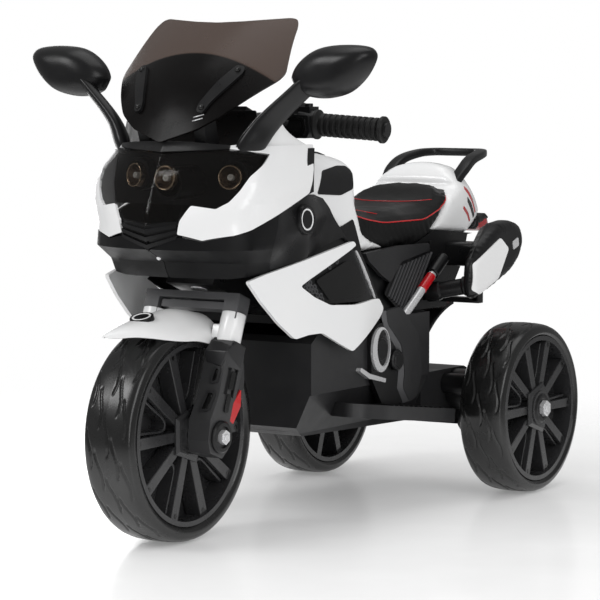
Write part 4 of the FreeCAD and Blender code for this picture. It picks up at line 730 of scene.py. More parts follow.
# side fairings, their vents, honeycomb and raised plate
SIDE_PLAN = [(-318, 120), (-250, 128), (-180, 134), (-60, 138), (34, 126)]
SIDE_RIM = [(-318, 362), (-284, 369.5), (-98, 401), (-72, 405), (-65, 399), (-80, 393), (-186, 357),
            (-206, 349), (-174, 332), (-134, 318), (-70, 314), (-12, 318), (8, 317), (26, 301), (14, 290),
            (-71, 247), (-102, 259), (-152, 280), (-185, 280), (-216, 276), (-254, 301), (-289, 331)]
VENT_RIM = [(-208, 349), (-186, 359), (-80, 395), (-66, 401), (-60, 402), (28, 298), (22, 302), (6, 318),
            (-12, 316), (-134, 320), (-174, 334)]
SIDE_LIFT, SIDE_BOW, SIDE_MIDDLE = 1.5, -0.00055, 335
VENT_DEPTH = -4.0


def side_skin(y, z, out=0.0):
    lean = SIDE_BOW * (z - SIDE_MIDDLE) ** 2
    return (smooth(SIDE_PLAN, y)[0] + SIDE_LIFT + lean + out, y, z)


def on_side(out):
    return lambda y, z: side_skin(y, z, out)


sides = panel("side_fairing_skins", "white_gloss", rounded(SIDE_RIM, 6), side_skin, step=8.0, thick=6.0,
              edge=1.6)
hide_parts("side_fairings")
vents = panel("vent_backs", "black_satin", rounded(VENT_RIM, 3), on_side(VENT_DEPTH), step=8.0, thick=3.0)
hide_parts("side_vents")
panel("vent_plates", "black_satin",
      rounded([(-170, 355), (-92, 378), (-71, 374), (-38, 334), (-48, 325), (-134, 323)], 7), on_side(-0.5),
      step=8.0, thick=4.0, edge=1.6, material="gloss_black")
for k in range(3):
    panel(f"vent_slats_{k}", "steel",
          rounded([(-66 + 15 * k, 391 - 19 * k), (-62 + 15 * k, 391 - 19 * k), (-38 + 15 * k, 362 - 18 * k),
                   (-30 + 14 * k, 346 - 14 * k), (-35 + 14 * k, 347 - 14 * k)], 1.5), on_side(-1.6), step=6.0,
          thick=2.0, edge=0.5)

# honeycomb between the vent's rim and its plate
CELL_SIZE, CELL_RISE = 3.7, 2.4
CELL_START, CELL_PITCH = Vector((-170, 346)), (7.4, 6.4)
CELL_RINGS = ((CELL_SIZE, 0.0), (CELL_SIZE, CELL_RISE), (CELL_SIZE * 0.76, CELL_RISE), (CELL_SIZE * 0.7, 0.0))
cell_bm = bmesh.new()
for row in range(-5, 6):
    for column in range(-9, 10):
        y = CELL_START.x + column * CELL_PITCH[0] + (row % 2) * CELL_SIZE
        z = CELL_START.y + row * CELL_PITCH[1]
        below_rim = z < 350 + (y + 202) * 0.34
        above_rim = z > 350 - (y + 202) * 0.5 and z > 322
        clear_of_plate = y < -143 - (z - 323) * 1.13 or z > 358 + (y + 176) * 0.3
        if -200 < y < -90 and below_rim and above_rim and clear_of_plate:
            rings = []
            for reach, lift in CELL_RINGS:
                corners = [(y + reach * sin(pi * k / 3), z + reach * cos(pi * k / 3))
                           for k in range(6)]
                rings.append([cell_bm.verts.new(Vector(side_skin(a, b, VENT_DEPTH + lift)) * MM)
                              for a, b in corners])
            skin_over(cell_bm, rings)
face_out(cell_bm, outward)
mirror_twin(cell_bm)
cells = add_piece("vent_honeycomb", "case_grey", cell_bm)
cells.data.shade_flat()

# tank cover with its pads
TANK_RIM = [(-115, 468), (-60, 527), (-14, 527.5), (22, 518), (32, 501), (18, 474), (11, 448), (22, 412),
            (50, 398), (94, 385), (20, 382), (-36, 409)]
TANK_TOP = [(-60, 527), (-14, 527.5), (22, 518)]
TANK_HALF = [(380, 96), (418, 96), (460, 90), (494, 79), (515, 62), (528, 44)]


def tank_half(y, z):
    return smooth(TANK_HALF, z)[0]


tank = inflate("tank_skin", "white_gloss", rounded(TANK_RIM, 9), tank_half, 13.0, crown=1.5, step=6.0)
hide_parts("tank_cover")


def on_tank(out):
    return lambda y, z: (tank_half(y, z) + out, y, z)


pads = panel("knee_pad_skins", "black_satin",
             rounded([(-92, 471), (-58, 503), (-10, 509), (14, 508), (20, 499), (8, 475), (-30, 467)], 6),
             on_tank(0.6), lambda c: (c.x, 0, 0.4), step=6.0, thick=7.0, edge=1.6)
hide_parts("knee_pads")
panel("tank_foot_insets", "black_satin", rounded([(-52, 420), (-8, 432), (15, 384), (-36, 407)], 3),
      on_tank(0.8), step=7.0, thick=5.0)
panel("tank_top_pad", "black_satin",
      rounded([(-36, -52), (36, -52), (40, 8), (26, 20), (-26, 20), (-40, 8)], 8),
      lambda x, y: (x, y, straight(TANK_TOP, y)[0] + 4.0 - 0.002 * x * x), upward, step=8.0, thick=5.0,
      edge=1.6, pair=False)

# tail cover with plain stripes
TAIL_RIM = [(238, 404), (300, 452), (328, 466), (328, 479), (340, 494), (352, 501), (372, 500), (408, 484),
            (440, 462), (440, 420), (400, 407), (355, 393)]
TAIL_HALF = [(182, 88), (272, 88), (336, 83), (372, 76), (408, 66), (440, 55)]
TAIL_CREST = [(238, 460), (328, 497), (352, 501), (372, 500), (408, 484), (440, 462)]
TAIL_CROWN = [(0, 0.28), (6, 0.54), (17, 0.73), (26, 0.84), (40, 0.965), (60, 1.0)]


def tail_half(y, z):
    return smooth(TAIL_HALF, y)[0] * smooth(TAIL_CROWN, smooth(TAIL_CREST, y)[0] - z)[0]


tail = inflate("tail_skin", "white_gloss", rounded(TAIL_RIM, 7), tail_half, 7.0, crown=1.0, step=5.0)
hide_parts("tail_cover")
for name, slot, rim in (("tail_stripe_red", "red_gloss",
                         [(352, 466), (368, 458), (388, 444), (406, 423), (400, 421), (383, 439), (365, 452),
                          (350, 461)]),
                        ("tail_stripe_dark", "black_satin",
                         [(360, 449), (378, 438), (398, 419), (388, 414), (373, 430), (358, 441)]),
                        ("tail_stripe_low", "red_gloss",
                         [(340, 436), (362, 424), (372, 412), (366, 409), (357, 419), (338, 431)])):
    panel(name, slot, rounded(rim, 2), lambda y, z: (tail_half(y, z) + 0.35, y, z), step=5.0, thick=1.0,
          edge=0.0)

# seat: foam cushion relaxed as cloth, with piping, stitched lines and pleats
SEAT_START, SEAT_LENGTH, SEAT_STEPS = 8, 321, 40
SEAT_RUN = [(8, 70, 449, 447), (22, 77, 445, 414), (50, 84, 438, 400), (96, 90, 432, 387),
            (175, 93, 432, 387), (215, 94, 435, 395), (256, 91, 444, 419), (286, 84, 457, 442),
            (304, 75, 463, 455), (318, 64, 467, 463), (329, 48, 470, 468)]
SEAT_PIPING = [(20, 439), (66, 426), (107, 421), (195, 421), (256, 434), (299, 452), (322, 464)]
SEAT_ROLL, SEAT_CROWN, SEAT_CELL = 16.0, 3.0, 5.0
PLEAT_PITCH, PLEAT_RISE, PLEAT_SLANT, PLEAT_FADE = 15.0, 2.0, 0.35, 10.0
PLEAT_SIDE, PLEAT_START, PLEAT_END = 60, 22, 300
SEAM_SINK, SEAM_REACH = 2.0, 3.0
FOAM_FRAMES = 20
FOAM_REACH = 5 * MM


def apply_modifiers(piece):
    scene.view_layers[0].update()
    graph = bpy.context.evaluated_depsgraph_get()
    made = bpy.data.meshes.new_from_object(piece.evaluated_get(graph))
    piece.modifiers.clear()
    piece.data = made


seat_rows = []
for k in range(SEAT_STEPS + 1):
    y = SEAT_START + SEAT_LENGTH * k / SEAT_STEPS
    half, top, low = smooth(SEAT_RUN, y)
    thick = max(top - low, 2.0)
    roll = min(SEAT_ROLL, thick * 0.5)
    flank = [(half, y, low + roll * 0.4), (half, y, low + thick * 0.5)]
    for turn in (0, 30, 60, 90):
        lean = radians(turn)
        flank.append((half - roll + roll * cos(lean), y, top - roll + roll * sin(lean)))
    flank += [(x * (half - roll), y, top + SEAT_CROWN * (1 - x * x)) for x in (0.6, 0.2)]
    seat_rows.append([(x * half * 0.94, y, low) for x in (-1, -0.6, -0.2, 0.2, 0.6, 1)] + flank
                     + [(-x, y, z) for x, _, z in reversed(flank)])
seat = sweep("seat_cover", "seat_leather", seat_rows)
remesh = seat.modifiers.new("remesh", "REMESH")
remesh.mode = "VOXEL"
remesh.voxel_size = SEAT_CELL * MM
apply_modifiers(seat)
seat_rest = [vert.co.copy() for vert in seat.data.vertices]
foam = seat.modifiers.new("foam", "CLOTH")
foam.settings.quality = 6
foam.settings.mass = 0.25
foam.settings.use_pressure = True
foam.settings.uniform_pressure_force = 4.0
foam.settings.effector_weights.gravity = 0.0
foam.point_cache.frame_start = 1
foam.point_cache.frame_end = FOAM_FRAMES
for step in range(1, FOAM_FRAMES + 1):
    scene.frame_set(step)
apply_modifiers(seat)
scene.frame_set(1)
for vert, rest in zip(seat.data.vertices, seat_rest):
    moved = vert.co - rest
    if moved.length > FOAM_REACH:
        vert.co = rest + moved.normalized() * FOAM_REACH
for vert in seat.data.vertices:
    x, y, z = vert.co / MM
    drop = smooth(SEAT_PIPING, y)[0] - z
    if abs(x) > PLEAT_SIDE and PLEAT_START < y < PLEAT_END:
        pleat = sin((y + PLEAT_SLANT * drop) * 2 * pi / PLEAT_PITCH) * clamp(drop / PLEAT_FADE)
        sink = SEAM_SINK * exp(-(drop / SEAM_REACH) ** 2)
        vert.co.x += copysign(PLEAT_RISE * pleat - sink, x) * MM
seat.data.materials.clear()
seat.data.materials.append(MATERIALS["seat_leather"])
seat.data.shade_smooth()
subdivide(seat, 1)
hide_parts("seat_cushion")
scene.view_layers[0].update()
seat_hit = seat.evaluated_get(bpy.context.evaluated_depsgraph_get())


def on_seat(start, toward, out):
    """The place where a line meets the seat, and a little above it."""
    _, spot, normal, _ = seat_hit.ray_cast(Vector(start) * MM, Vector(toward))
    return (spot + normal * out * MM) / MM


tube("seat_piping", "red_gloss",
     [on_seat((300, y, smooth(SEAT_PIPING, y)[0]), (-1, 0, 0), 0.4) for y in range(26, 312, 11)], 1.1,
     pair=True, fine=3)
for name, line in (("seat_stitch_front", [(66, 108), (56, 94), (38, 84), (18, 79), (0, 78)]),
                   ("seat_stitch_rear", [(70, 262), (58, 246), (40, 236), (20, 231), (0, 230)])):
    tube(name, "red_gloss", [on_seat((x, y, 700), (0, 0, -1), 0.1) for x, y in line], 0.7, pair=True, fine=6)

# front fender with a plain round badge
FENDER_START, FENDER_LENGTH, FENDER_STEPS, FENDER_LEAN = -481, 211, 48, 80
FENDER_RUN = [(-481, 4, 297, 4), (-464, 13, 302, 10), (-440, 24, 307, 15), (-416, 35, 310, 21),
              (-392, 42, 313, 28), (-360, 47, 318, 37), (-332, 48, 321, 42), (-270, 48, 312, 48)]
FENDER_BADGE = Vector((0, -396, 313))
BADGE_AXIS = (0, -0.3, 1)
leans = [radians(turn) for turn in range(-FENDER_LEAN, FENDER_LEAN + 1, 8)]
fender_rows = []
for k in range(FENDER_STEPS + 1):
    y = FENDER_START + FENDER_LENGTH * k / FENDER_STEPS
    half, crest, drop = smooth(FENDER_RUN, y)
    fender_rows.append([(half * sin(lean) / sin(leans[-1]), y,
                         crest - drop * (1 - cos(lean)) / (1 - cos(leans[-1]))) for lean in leans])
fender = grid("fender_skin", "white_gloss", fender_rows, upward, body="steering")
solidify(fender, 3.0)
soften(fender, 0.8)
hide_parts("front_fender")
lathe("fender_cap", "black_satin",
      [(0, 3), (9.5, 2.8), (10.5, 2), (13.5, 2), (14.5, 3.2), (16.5, 2.6), (17.2, -6)], FENDER_BADGE,
      BADGE_AXIS, 56, body="steering")
lathe("fender_cap_ring", "white_gloss", [(10.4, 2.2), (10.8, 3), (13.1, 3), (13.5, 2.2)], FENDER_BADGE,
      BADGE_AXIS, 56, closed=True, body="steering")
panel("fender_ears", "white_gloss", rounded([(-12, 134), (10, 134), (10, 156), (-12, 156)], 4), on_leg(58),
      step=30.0, thick=14.0, edge=1.5, body="steering")

# tyres with winding grooves
TYRE_TURNS = 528
GROOVE_LANES = ((0.70, 0.0), (0.36, 2.4), (0.02, 4.6), (-0.34, 1.1), (-0.70, 3.3))
GROOVE_WAVES = 11
GROOVE_DEPTH, GROOVE_HALF, GROOVE_SWING = 1.7, 1.9, 0.11
FINE_REACH, FINE_STEP, WALL_STEP = 12, 1.2, 4.0
TREAD_REACH, LINE_REACH, LINE_END, LINE_DEPTH = 9, 9.4, 11, 0.6


def tyre_section(radius, half, seat_radius):
    """Half a tyre's section from bead to crown, finely stepped over the tread."""
    profile = [(seat_radius, half * 0.84), (seat_radius + 4, half * 0.96), (radius - 14, half),
               (radius - 8, half * 0.965), (radius - 4, half * 0.88), (radius - 1.8, half * 0.72),
               (radius - 0.6, half * 0.45), (radius, 0.0)]
    run = [(k, *point) for k, point in enumerate(profile)]
    section = [profile[0]]
    for k in range(1, 701):
        r, w = smooth(run, k / 100)
        step = FINE_STEP if r > radius - FINE_REACH else WALL_STEP
        if hypot(r - section[-1][0], w - section[-1][1]) >= step:
            section.append((r, w))
    return section + [(radius, 0.0)]


def groove(angle, w, half):
    """How deep the tread is cut at a place."""
    deepest = 0.0
    for lane, phase in GROOVE_LANES:
        swing = angle * GROOVE_WAVES + phase
        line = half * (lane + GROOVE_SWING * sin(swing))
        ends = clamp(2.5 * sin(swing + 0.9) + 1.6)
        deepest = max(deepest, GROOVE_DEPTH * ends * max(0.0, 1 - (abs(w - line) / GROOVE_HALF) ** 4))
    return deepest


def tyre(name, body, node, radius, half, seat_radius, hub):
    section = tyre_section(radius, half, seat_radius)
    section += [(r, -w) for r, w in reversed(section[:-1])]
    bm = bmesh.new()
    rings = []
    for k in range(TYRE_TURNS):
        angle = 2 * pi * k / TYRE_TURNS
        ring = []
        for r, w in section:
            dip = groove(angle, w, half) if r > radius - TREAD_REACH else 0.0
            if radius - LINE_END < r < radius - LINE_REACH:
                dip = LINE_DEPTH
            reach = r - dip
            spot = Vector((w, reach * cos(angle), reach * sin(angle))) + hub
            ring.append(bm.verts.new(spot * MM))
        rings.append(ring)
    skin_over(bm, rings, around=False, closed=True)
    bmesh.ops.recalc_face_normals(bm, faces=bm.faces[:])
    piece = add_piece(name, "tyre_black", bm, body=body)
    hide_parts(node)


tyre("front_tyre_tread", "front_wheel", "front_tyre", 150, 40, 126, FRONT_HUB)
tyre("rear_tyre_tread_left", "rear_wheel_left", "rear_tyre_left", 130, 38, 110, LEFT_HUB)
tyre("rear_tyre_tread_right", "rear_wheel_right", "rear_tyre_right", 130, 38, 110, RIGHT_HUB)


# mirrors: broad arms and smooth pods
def blade(x, y, z, reach, depth, count=24):
    """A flat round-ended ring whose broad side faces outward and forward."""
    slant = sqrt(0.5)
    ring = []
    for k in range(count):
        a, b = squarish(2 * pi * k / count, 0.7)
        a, b = a * reach * slant, b * depth * slant
        ring.append((x + a - b, y + a + b, z))
    return ring


ARM_RUN = [(531, 104, -293, 7, 4), (534, 105, -293, 14, 7), (540, 107, -292, 20, 9), (552, 112, -289, 22, 11),
           (575, 128, -282, 22, 10), (629, 187, -272, 20, 9), (642, 201, -271, 16, 8)]
arm_heights = [531, 532, 534, 537, 540, 544, 548] + [552 + 90 * k / 26 for k in range(27)]
arms = sweep("mirror_arm_skins", "black_satin",
             [blade(*smooth(ARM_RUN, z)[:2], z, *smooth(ARM_RUN, z)[2:]) for z in arm_heights], pair=True)
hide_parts("mirror_arms")

MIRROR_X, MIRROR_Z = 285, 645
POD_RIM = [(-129, -11), (-122, 7), (-103, 24), (-79, 34), (-45, 37), (-12, 34.5), (0, 26), (-2, 13),
           (-16, -8), (-40, -27), (-71, -35), (-99, -34), (-120, -26)]
POD_LEVELS = [(-251, 0.87), (-248.2, 0.88), (-247.9, 0.93), (-249, 0.975), (-254, 1.0), (-262, 0.99),
              (-270, 0.945), (-278, 0.86), (-284, 0.74), (-288.5, 0.59), (-291.2, 0.4), (-292.4, 0.2)]
pod_line = flowing([(x, z, 0) for x, z in POD_RIM[-3:] + POD_RIM + POD_RIM[:3]], 6)[18:-18]


def pod_ring(y, share):
    return [(MIRROR_X - 64 + (x + 64) * share, y, MIRROR_Z + 2 + (z - 2) * share) for x, z, _ in pod_line]


pods = sweep("mirror_pod_skins", "black_satin", [pod_ring(y, share) for y, share in POD_LEVELS], pair=True)
subdivide(pods, 1)
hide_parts("mirror_shells")
glasses = sweep("mirror_glass_skins", "mirror_glass", [pod_ring(-251, 0.87), pod_ring(-249.6, 0.87)],
                pair=True)
soften(glasses, 0.4)
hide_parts("mirror_glasses")

# windscreen sheet, its clips with screws and two dashes, and the dark cowl behind it
SCREEN_SHARES = (1.0, 0.996, 0.99, 0.98, 0.96)
SCREEN_AHEAD, SCREEN_BACK = -600, -270
scene.view_layers[0].update()


def screen_skin(x, z, out=0.0):
    """The front of the solid screen, looked up a little further in where its rim is missed."""
    for share in SCREEN_SHARES:
        start = Vector((x * share * MM, SCREEN_AHEAD * MM, z * MM))
        found, spot, normal, _ = NODES["windscreen"].ray_cast(start, Vector((0, 1, 0)))
        if found:
            spot = spot / MM
            spot.x = x
            return spot + normal * out
    return Vector((x, SCREEN_BACK, z))


def on_screen(out):
    return lambda x, z: screen_skin(x, z, out)


SCREEN_RIM = [(0, 550), (53, 568), (82, 586), (132, 635), (135.5, 644), (119.5, 708), (114, 717),
              (104, 719.5), (40, 715), (0, 713.5)]
sheet = panel("screen_sheet", "smoke_screen", rounded(mirrored(SCREEN_RIM), 5), screen_skin, in_front,
              step=9.0, thick=3.6, edge=1.0, pair=False)
panel("screen_clips", "black_satin",
      rounded([(86, 650), (75, 652), (60, 630), (46, 600), (46, 590), (56, 588), (62, 602), (77, 624),
               (88, 642)], 4), on_screen(4.5), in_front, step=6.0, thick=5.5, edge=2.0)
for name, x, z in (("screen_screws_high", 79, 645), ("screen_screws_low", 52, 595)):
    lathe(name, "steel", [(0, 1.2), (1.6, 1.4), (2.2, 2.2), (3.6, 1.6), (4.2, 0), (4.2, -2)],
          screen_skin(x, z, 5.0), (0, -0.9, 0.5), 24, pair=True, material="gloss_black")
for k in range(2):
    panel(f"screen_dashes_{k}", "steel",
          [(43, 583 - 5 * k), (57, 587 - 5 * k), (57, 588.4 - 5 * k), (43, 584.4 - 5 * k)], on_screen(0.5),
          in_front, step=6.0, thick=0.8, edge=0.0, pair=False)
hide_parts("windscreen")
cowl = grid("dash_cowl", "black_satin",
            [[(half * k / 6, y - 0.0006 * (half * k / 6) ** 2, z) for k in range(-6, 7)]
             for y, z, half in ((-262, 543, 100), (-246, 556, 92), (-230, 574, 82), (-220, 592, 70))],
            lambda c: (0, -1, 1))
solidify(cowl, 3.0)
soften(cowl, 0.8)

# grips with rings of ribs
BAR_START = Vector((82, -130, 573))
BAR_RUN = Vector((136, 18, -9)).normalized()
grip_profile = [(11.3, 0), (21, 0), (21, 4), (16.5, 5.5)]
for k in range(10):
    rib = 8 + 9 * k
    grip_profile += [(14.2, rib), (16.4, rib + 1.2), (16.4, rib + 6.4), (14.2, rib + 7.6)]
grip_profile += [(16, 98.5), (19, 100), (19, 104.5), (17, 106.4), (11.3, 106.4)]
grips = lathe("grip_skins", "grip_rubber", grip_profile, BAR_START + BAR_RUN * 27, BAR_RUN, 40, pair=True,
              body="steering")
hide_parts("grips")

# switch boxes with a framed front
BOX_RIM = [(64, 552), (108, 552), (112, 560), (110, 584.2), (86, 584.8), (83, 601), (68, 602), (62, 590)]
panel("switch_boxes", "black_satin", rounded(BOX_RIM, 3), lambda x, z: (x, -151, z), in_front, step=30.0,
      thick=38.0, edge=2.5, body="steering")
panel("switch_frames", "black_satin",
      rounded([(68, 556), (105, 556), (107, 562), (105, 581), (81, 582), (78, 597), (70, 597), (67, 588)], 3),
      lambda x, z: (x, -153, z), in_front, step=30.0, thick=3.0, edge=1.0,
      holes=([(73, 561), (100, 561), (101, 564), (100, 576.5), (76, 577.5), (73, 582)],),
      material="gloss_black", body="steering")

# fork: yoke, collars, rear struts and reflectors, laid out along the raked leg
yoke = panel("fork_yoke", "charcoal",
             rounded([(-79, 164), (-55, 164), (-55, 190), (55, 190), (55, 164), (79, 164), (79, 200),
                      (-79, 200)], 2), on_yoke(-13), in_front, step=30.0, thick=27.0, edge=2.0, pair=False,
             material="case_grey", body="steering")
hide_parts("fork_bridge")
panel("fork_yoke_bar", "charcoal", rounded([(-53, 177), (53, 177), (53, 187.5), (-53, 187.5)], 2),
      on_yoke(-8), in_front, step=30.0, thick=18.0, edge=1.5, pair=False, material="case_grey",
      body="steering")
collar_bm = bmesh.new()
for x, v, u in ((49, 16, 140), (49, -8, 142), (88, 14, 131), (88, -10, 132), (49, -28, 114), (86, -27, 114),
                (79, -25, 93), (52, -23, 98), (88, 12, 97), (49, 16, 97), (89, -8, 104)):
    collar_bm.verts.new(Vector(on_rake(x, v, u)) * MM)
bmesh.ops.convex_hull(collar_bm, input=collar_bm.verts[:])
bmesh.ops.recalc_face_normals(collar_bm, faces=collar_bm.faces[:])
mirror_twin(collar_bm)
collars = add_piece("fork_collars", "charcoal", collar_bm, body="steering")
soften(collars, 2.0, 20)
LEG_FRONT = [(-12, -25), (16, -30), (52, -22), (104, -23)]


def on_leg_front(out):
    return lambda x, u: on_rake(x, straight(LEG_FRONT, u)[0] - out, u)


for name, low, high, left, right in (("fork_slots_high", 68, 92, 65, 79), ("fork_slots_low", 27, 58, 60, 78)):
    rim = [(left, low), (right, low + 2), (right + 1, high), (left + 3, high + 1)]
    inside = [(left + 3.5, low + 3.5), (right - 3, low + 5), (right - 2.5, high - 3), (left + 6, high - 2.5)]
    panel(name, "charcoal", rounded(rim, 4), on_leg_front(2.0), in_front, step=8.0, thick=3.0, edge=0.8,
          holes=(rounded(inside, 3),), body="steering")
    panel(name + "_floor", "black_satin", rounded(inside, 3), on_leg_front(0.4), in_front, step=8.0,
          thick=1.0, edge=0.0, material="gloss_black", body="steering")
lathe("fork_bosses", "black_satin", [(15, -3), (15, 3.5), (20, 3.5), (22.5, 0.5), (22.5, -3)],
      FRONT_HUB + Vector((87, 0, 0)), (1, 0, 0), 48, pair=True, closed=True, body="steering")
panel("fork_struts", "charcoal", rounded([(12, 6), (27, 16), (35, 50), (35, 86), (24, 112), (12, 112)], 5),
      on_leg(82), step=30, thick=18, edge=2.0, body="steering")
reflectors = panel("reflector_skins", "red_gloss",
                   rounded([(15, 26), (24, 24), (34, 52), (27, 74), (15, 52)], 2), on_leg(84.6), step=30,
                   thick=3.5, edge=0.8, body="steering")
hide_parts("fork_reflectors")
for k in range(2):
    panel(f"fork_slots_{k}", "black_satin",
          rounded([(-6, 34 + 32 * k), (4, 34 + 32 * k), (4, 60 + 32 * k), (-6, 60 + 32 * k)], 4),
          on_leg(86.9), step=30, thick=1.2, edge=0.4, material="gloss_black", body="steering")

# hub plates and caps
for body, hub, sign in (("rear_wheel_left", LEFT_HUB, 1), ("rear_wheel_right", RIGHT_HUB, -1)):
    side = Vector((sign, 0, 0))
    lathe(f"{body}_plate", "rim_charcoal", [(0, 0), (41, 0), (41, 3), (35, 6), (0, 6)], hub + side * 30, side,
          5, body=body)
    lathe(f"{body}_cap", "black_satin", [(0, 4), (23, 4), (23, 8), (20, 10.5), (15, 10.5), (14, 9), (0, 9)],
          hub + side * 30, side, 56, body=body)
for name, sign in (("left", 1), ("right", -1)):
    side = Vector((sign, 0, 0))
    lathe(f"front_hub_plate_{name}", "rim_charcoal", [(0, 0), (42, 0), (42, 3), (36, 6), (0, 6)],
          FRONT_HUB + side * 32, side, 5, body="front_wheel")
    lathe(f"front_hub_{name}", "rim_charcoal", [(0, 4), (24, 4), (24, 11), (20, 14), (0, 14)],
          FRONT_HUB + side * 32, side, 48, body="front_wheel")

# raised work on the rims, five times round: a looped bead, twin spokes and bolt heads
RIM_LOOP = [(-25, 112), (-17, 84), (-11, 62), (-6, 52), (0, 49), (6, 52), (11, 62), (17, 84), (25, 112)]
RIM_SPOKE = [(2, 26), (17, 26), (49, 117), (31, 117)]
RIM_BOLT = (37.5, 108)
BOLT_RADIUS = 3.4
RIM_TURNS = 5
REAR_SCALE = 0.867


def wheel_relief(name, body, outlines, hub, face, depth, sign, material=None, edge=1.0):
    """The same outlines five times round a wheel, raised to a face on one side."""
    bm = bmesh.new()
    for k in range(RIM_TURNS):
        turn = 2 * pi * k / RIM_TURNS
        for outline in outlines:
            patch = flat_patch(outline, (), 60.0)
            for vert in patch.verts:
                a, r = vert.co.x, vert.co.y
                vert.co = (Vector((face * sign, a * cos(turn) - r * sin(turn),
                                   a * sin(turn) + r * cos(turn))) + hub) * MM
            face_out(patch, lambda c: (sign, 0, 0))
            part = bpy.data.meshes.new("part")
            patch.to_mesh(part)
            patch.free()
            bm.from_mesh(part)
            bpy.data.meshes.remove(part)
    piece = add_piece(name, "rim_charcoal", bm, material, body=body)
    solidify(piece, depth)
    soften(piece, edge)


def band(line, wide):
    """A closed strip along an open line, wide across."""
    path = [Vector(point).to_2d() for point in flowing([(a, r, 0) for a, r in line], 4)]
    left, right = [], []
    for k, spot in enumerate(path):
        along = heading(path, k)
        side = Vector((-along.y, along.x)) * wide / 2
        left.append(tuple(spot + side))
        right.append(tuple(spot - side))
    return left + right[::-1]


for body, hub, scale, face, signs in (("front_wheel", FRONT_HUB, 1.0, 26, (1, -1)),
                                      ("rear_wheel_left", LEFT_HUB, REAR_SCALE, 24, (1,)),
                                      ("rear_wheel_right", RIGHT_HUB, REAR_SCALE, 24, (-1,))):
    loops = [band([(a * scale, r * scale) for a, r in RIM_LOOP], 4.0)]
    spokes = [[(s * a * scale, r * scale) for a, r in RIM_SPOKE] for s in (-1, 1)]
    bolts = [[(s * RIM_BOLT[0] * scale + BOLT_RADIUS * cos(pi * n / 6),
               RIM_BOLT[1] * scale + BOLT_RADIUS * sin(pi * n / 6)) for n in range(12)]
             for s in (-1, 1)]
    for sign in signs:
        side = "out" if sign > 0 else "in"
        wheel_relief(f"{body}_loops_{side}", body, loops, hub, face, face - 4.0, sign)
        wheel_relief(f"{body}_spokes_{side}", body, spokes, hub, face + 6.5, face, sign, edge=3.0)
        wheel_relief(f"{body}_bolts_{side}", body, bolts, hub, face + 6.9, 2.0, sign, "gloss_black", 0.3)

# grab rail, flat in section
RAIL_HALF = [(60, 346, 469), (64, 368, 489), (62, 396, 504), (56, 436, 512), (42, 462, 514), (16, 469, 514)]
rail = tube("rail_skin", "black_satin", RAIL_HALF + [(-x, y, z) for x, y, z in reversed(RAIL_HALF)], 10.0,
            sides=24, fine=8, flat=0.62, square=0.45)
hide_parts("grab_rail")

# panniers: round-edged cases, thin at the front, with white lids, bare plates and a bar each
PANNIER_RIM = rounded([(206, 306), (226, 303), (282, 320), (330, 337), (358, 357), (371, 382), (363, 407),
                       (336, 417), (292, 412), (262, 397), (205, 361), (199, 330)], 13)
PANNIER_ROUND = 12.0
PANNIER_FACE = 175.0
PANNIER_DEPTH = 19.0


def pannier_half(y, z):
    return smooth([(200, 8), (240, 13), (290, PANNIER_DEPTH)], y)[0]


cases = inflate("pannier_cases", "black_satin", PANNIER_RIM, pannier_half, PANNIER_ROUND, crown=0.5, step=6.0,
                middle=PANNIER_FACE - PANNIER_DEPTH, pair=True)
for vert in cases.data.vertices:
    shift = PANNIER_DEPTH - pannier_half(vert.co.y / MM, 0)
    vert.co.x += copysign(shift * MM, vert.co.x)
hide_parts("panniers")


def on_pannier(out):
    return lambda y, z: (PANNIER_FACE + out - rim_fall(PANNIER_RIM, y, z, PANNIER_ROUND), y, z)


lids = panel("pannier_lid_skins", "white_gloss",
             rounded([(208, 357), (289, 392), (315, 374), (283, 330), (226, 309), (205, 317)], 5),
             on_pannier(1.6), step=5.0, thick=4.0, edge=1.2)
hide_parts("pannier_lids")
panel("pannier_plates", "steel", rounded([(331, 371), (349, 377), (346, 390), (328, 384)], 3),
      on_pannier(0.8), step=5.0, thick=1.6, edge=0.4)
panel("pannier_hangers", "black_satin", rounded([(270, 347), (322, 347), (322, 383), (270, 383)], 8),
      flat_side(146), step=30.0, thick=56.0, edge=2.0)
panel("pannier_shelves", "black_satin", rounded([(90, 248), (161, 248), (161, 264), (90, 264)], 3),
      lambda x, y: (x, y, 302), upward, step=30.0, thick=8.0, edge=1.0)
panel("pannier_webs", "black_satin", rounded([(248, 296), (264, 296), (264, 332), (248, 332)], 2),
      flat_side(160), step=30.0, thick=10.0, edge=1.0)
lathe("pannier_bars", "black_satin",
      [(0, 0), (13, 0), (14.5, 3), (14.5, 22), (12.5, 24), (12.5, 58), (15, 60), (15, 68), (0, 68)],
      (94, 206, 310), (60, 17, 12), 40, pair=True)

# tail lamp: red glass under a dark hood
lamp = inflate("tail_lamp_glass", "lamp_red",
               rounded([(412, 398), (420, 412), (452, 414), (473, 405), (476, 398), (468, 393), (433, 391)],
                       5), lambda y, z: smooth([(410, 64), (450, 62), (476, 50)], y)[0], 6.0, crown=1.0,
               step=6.0)
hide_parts("tail_lamp")
inflate("tail_lamp_hood", "black_satin",
        rounded([(406, 396), (418, 417), (450, 419), (464, 411), (452, 408), (428, 404), (416, 394)], 4),
        lambda y, z: smooth([(410, 65), (450, 63), (470, 56)], y)[0], 4.0, crown=1.0, step=6.0)

# engine covers: plate, raised frame with a lip whose lighter grey is a painted highlight, bright ring, disc,
# drum and strip
engine = panel("engine_plates", "black_satin",
               rounded([(0, 262), (20, 279), (78, 281), (136, 254), (142, 213), (122, 166), (84, 156),
                        (34, 156), (2, 200)], 8), flat_side(122), step=20.0, thick=8.0, edge=2.0)
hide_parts("engine_covers")
ENGINE_FACE, ENGINE_MIDDLE, ENGINE_TAPER = 130, 100, 0.05


def engine_frame(y, z):
    return (ENGINE_FACE - ENGINE_TAPER * abs(y - ENGINE_MIDDLE), y, z)


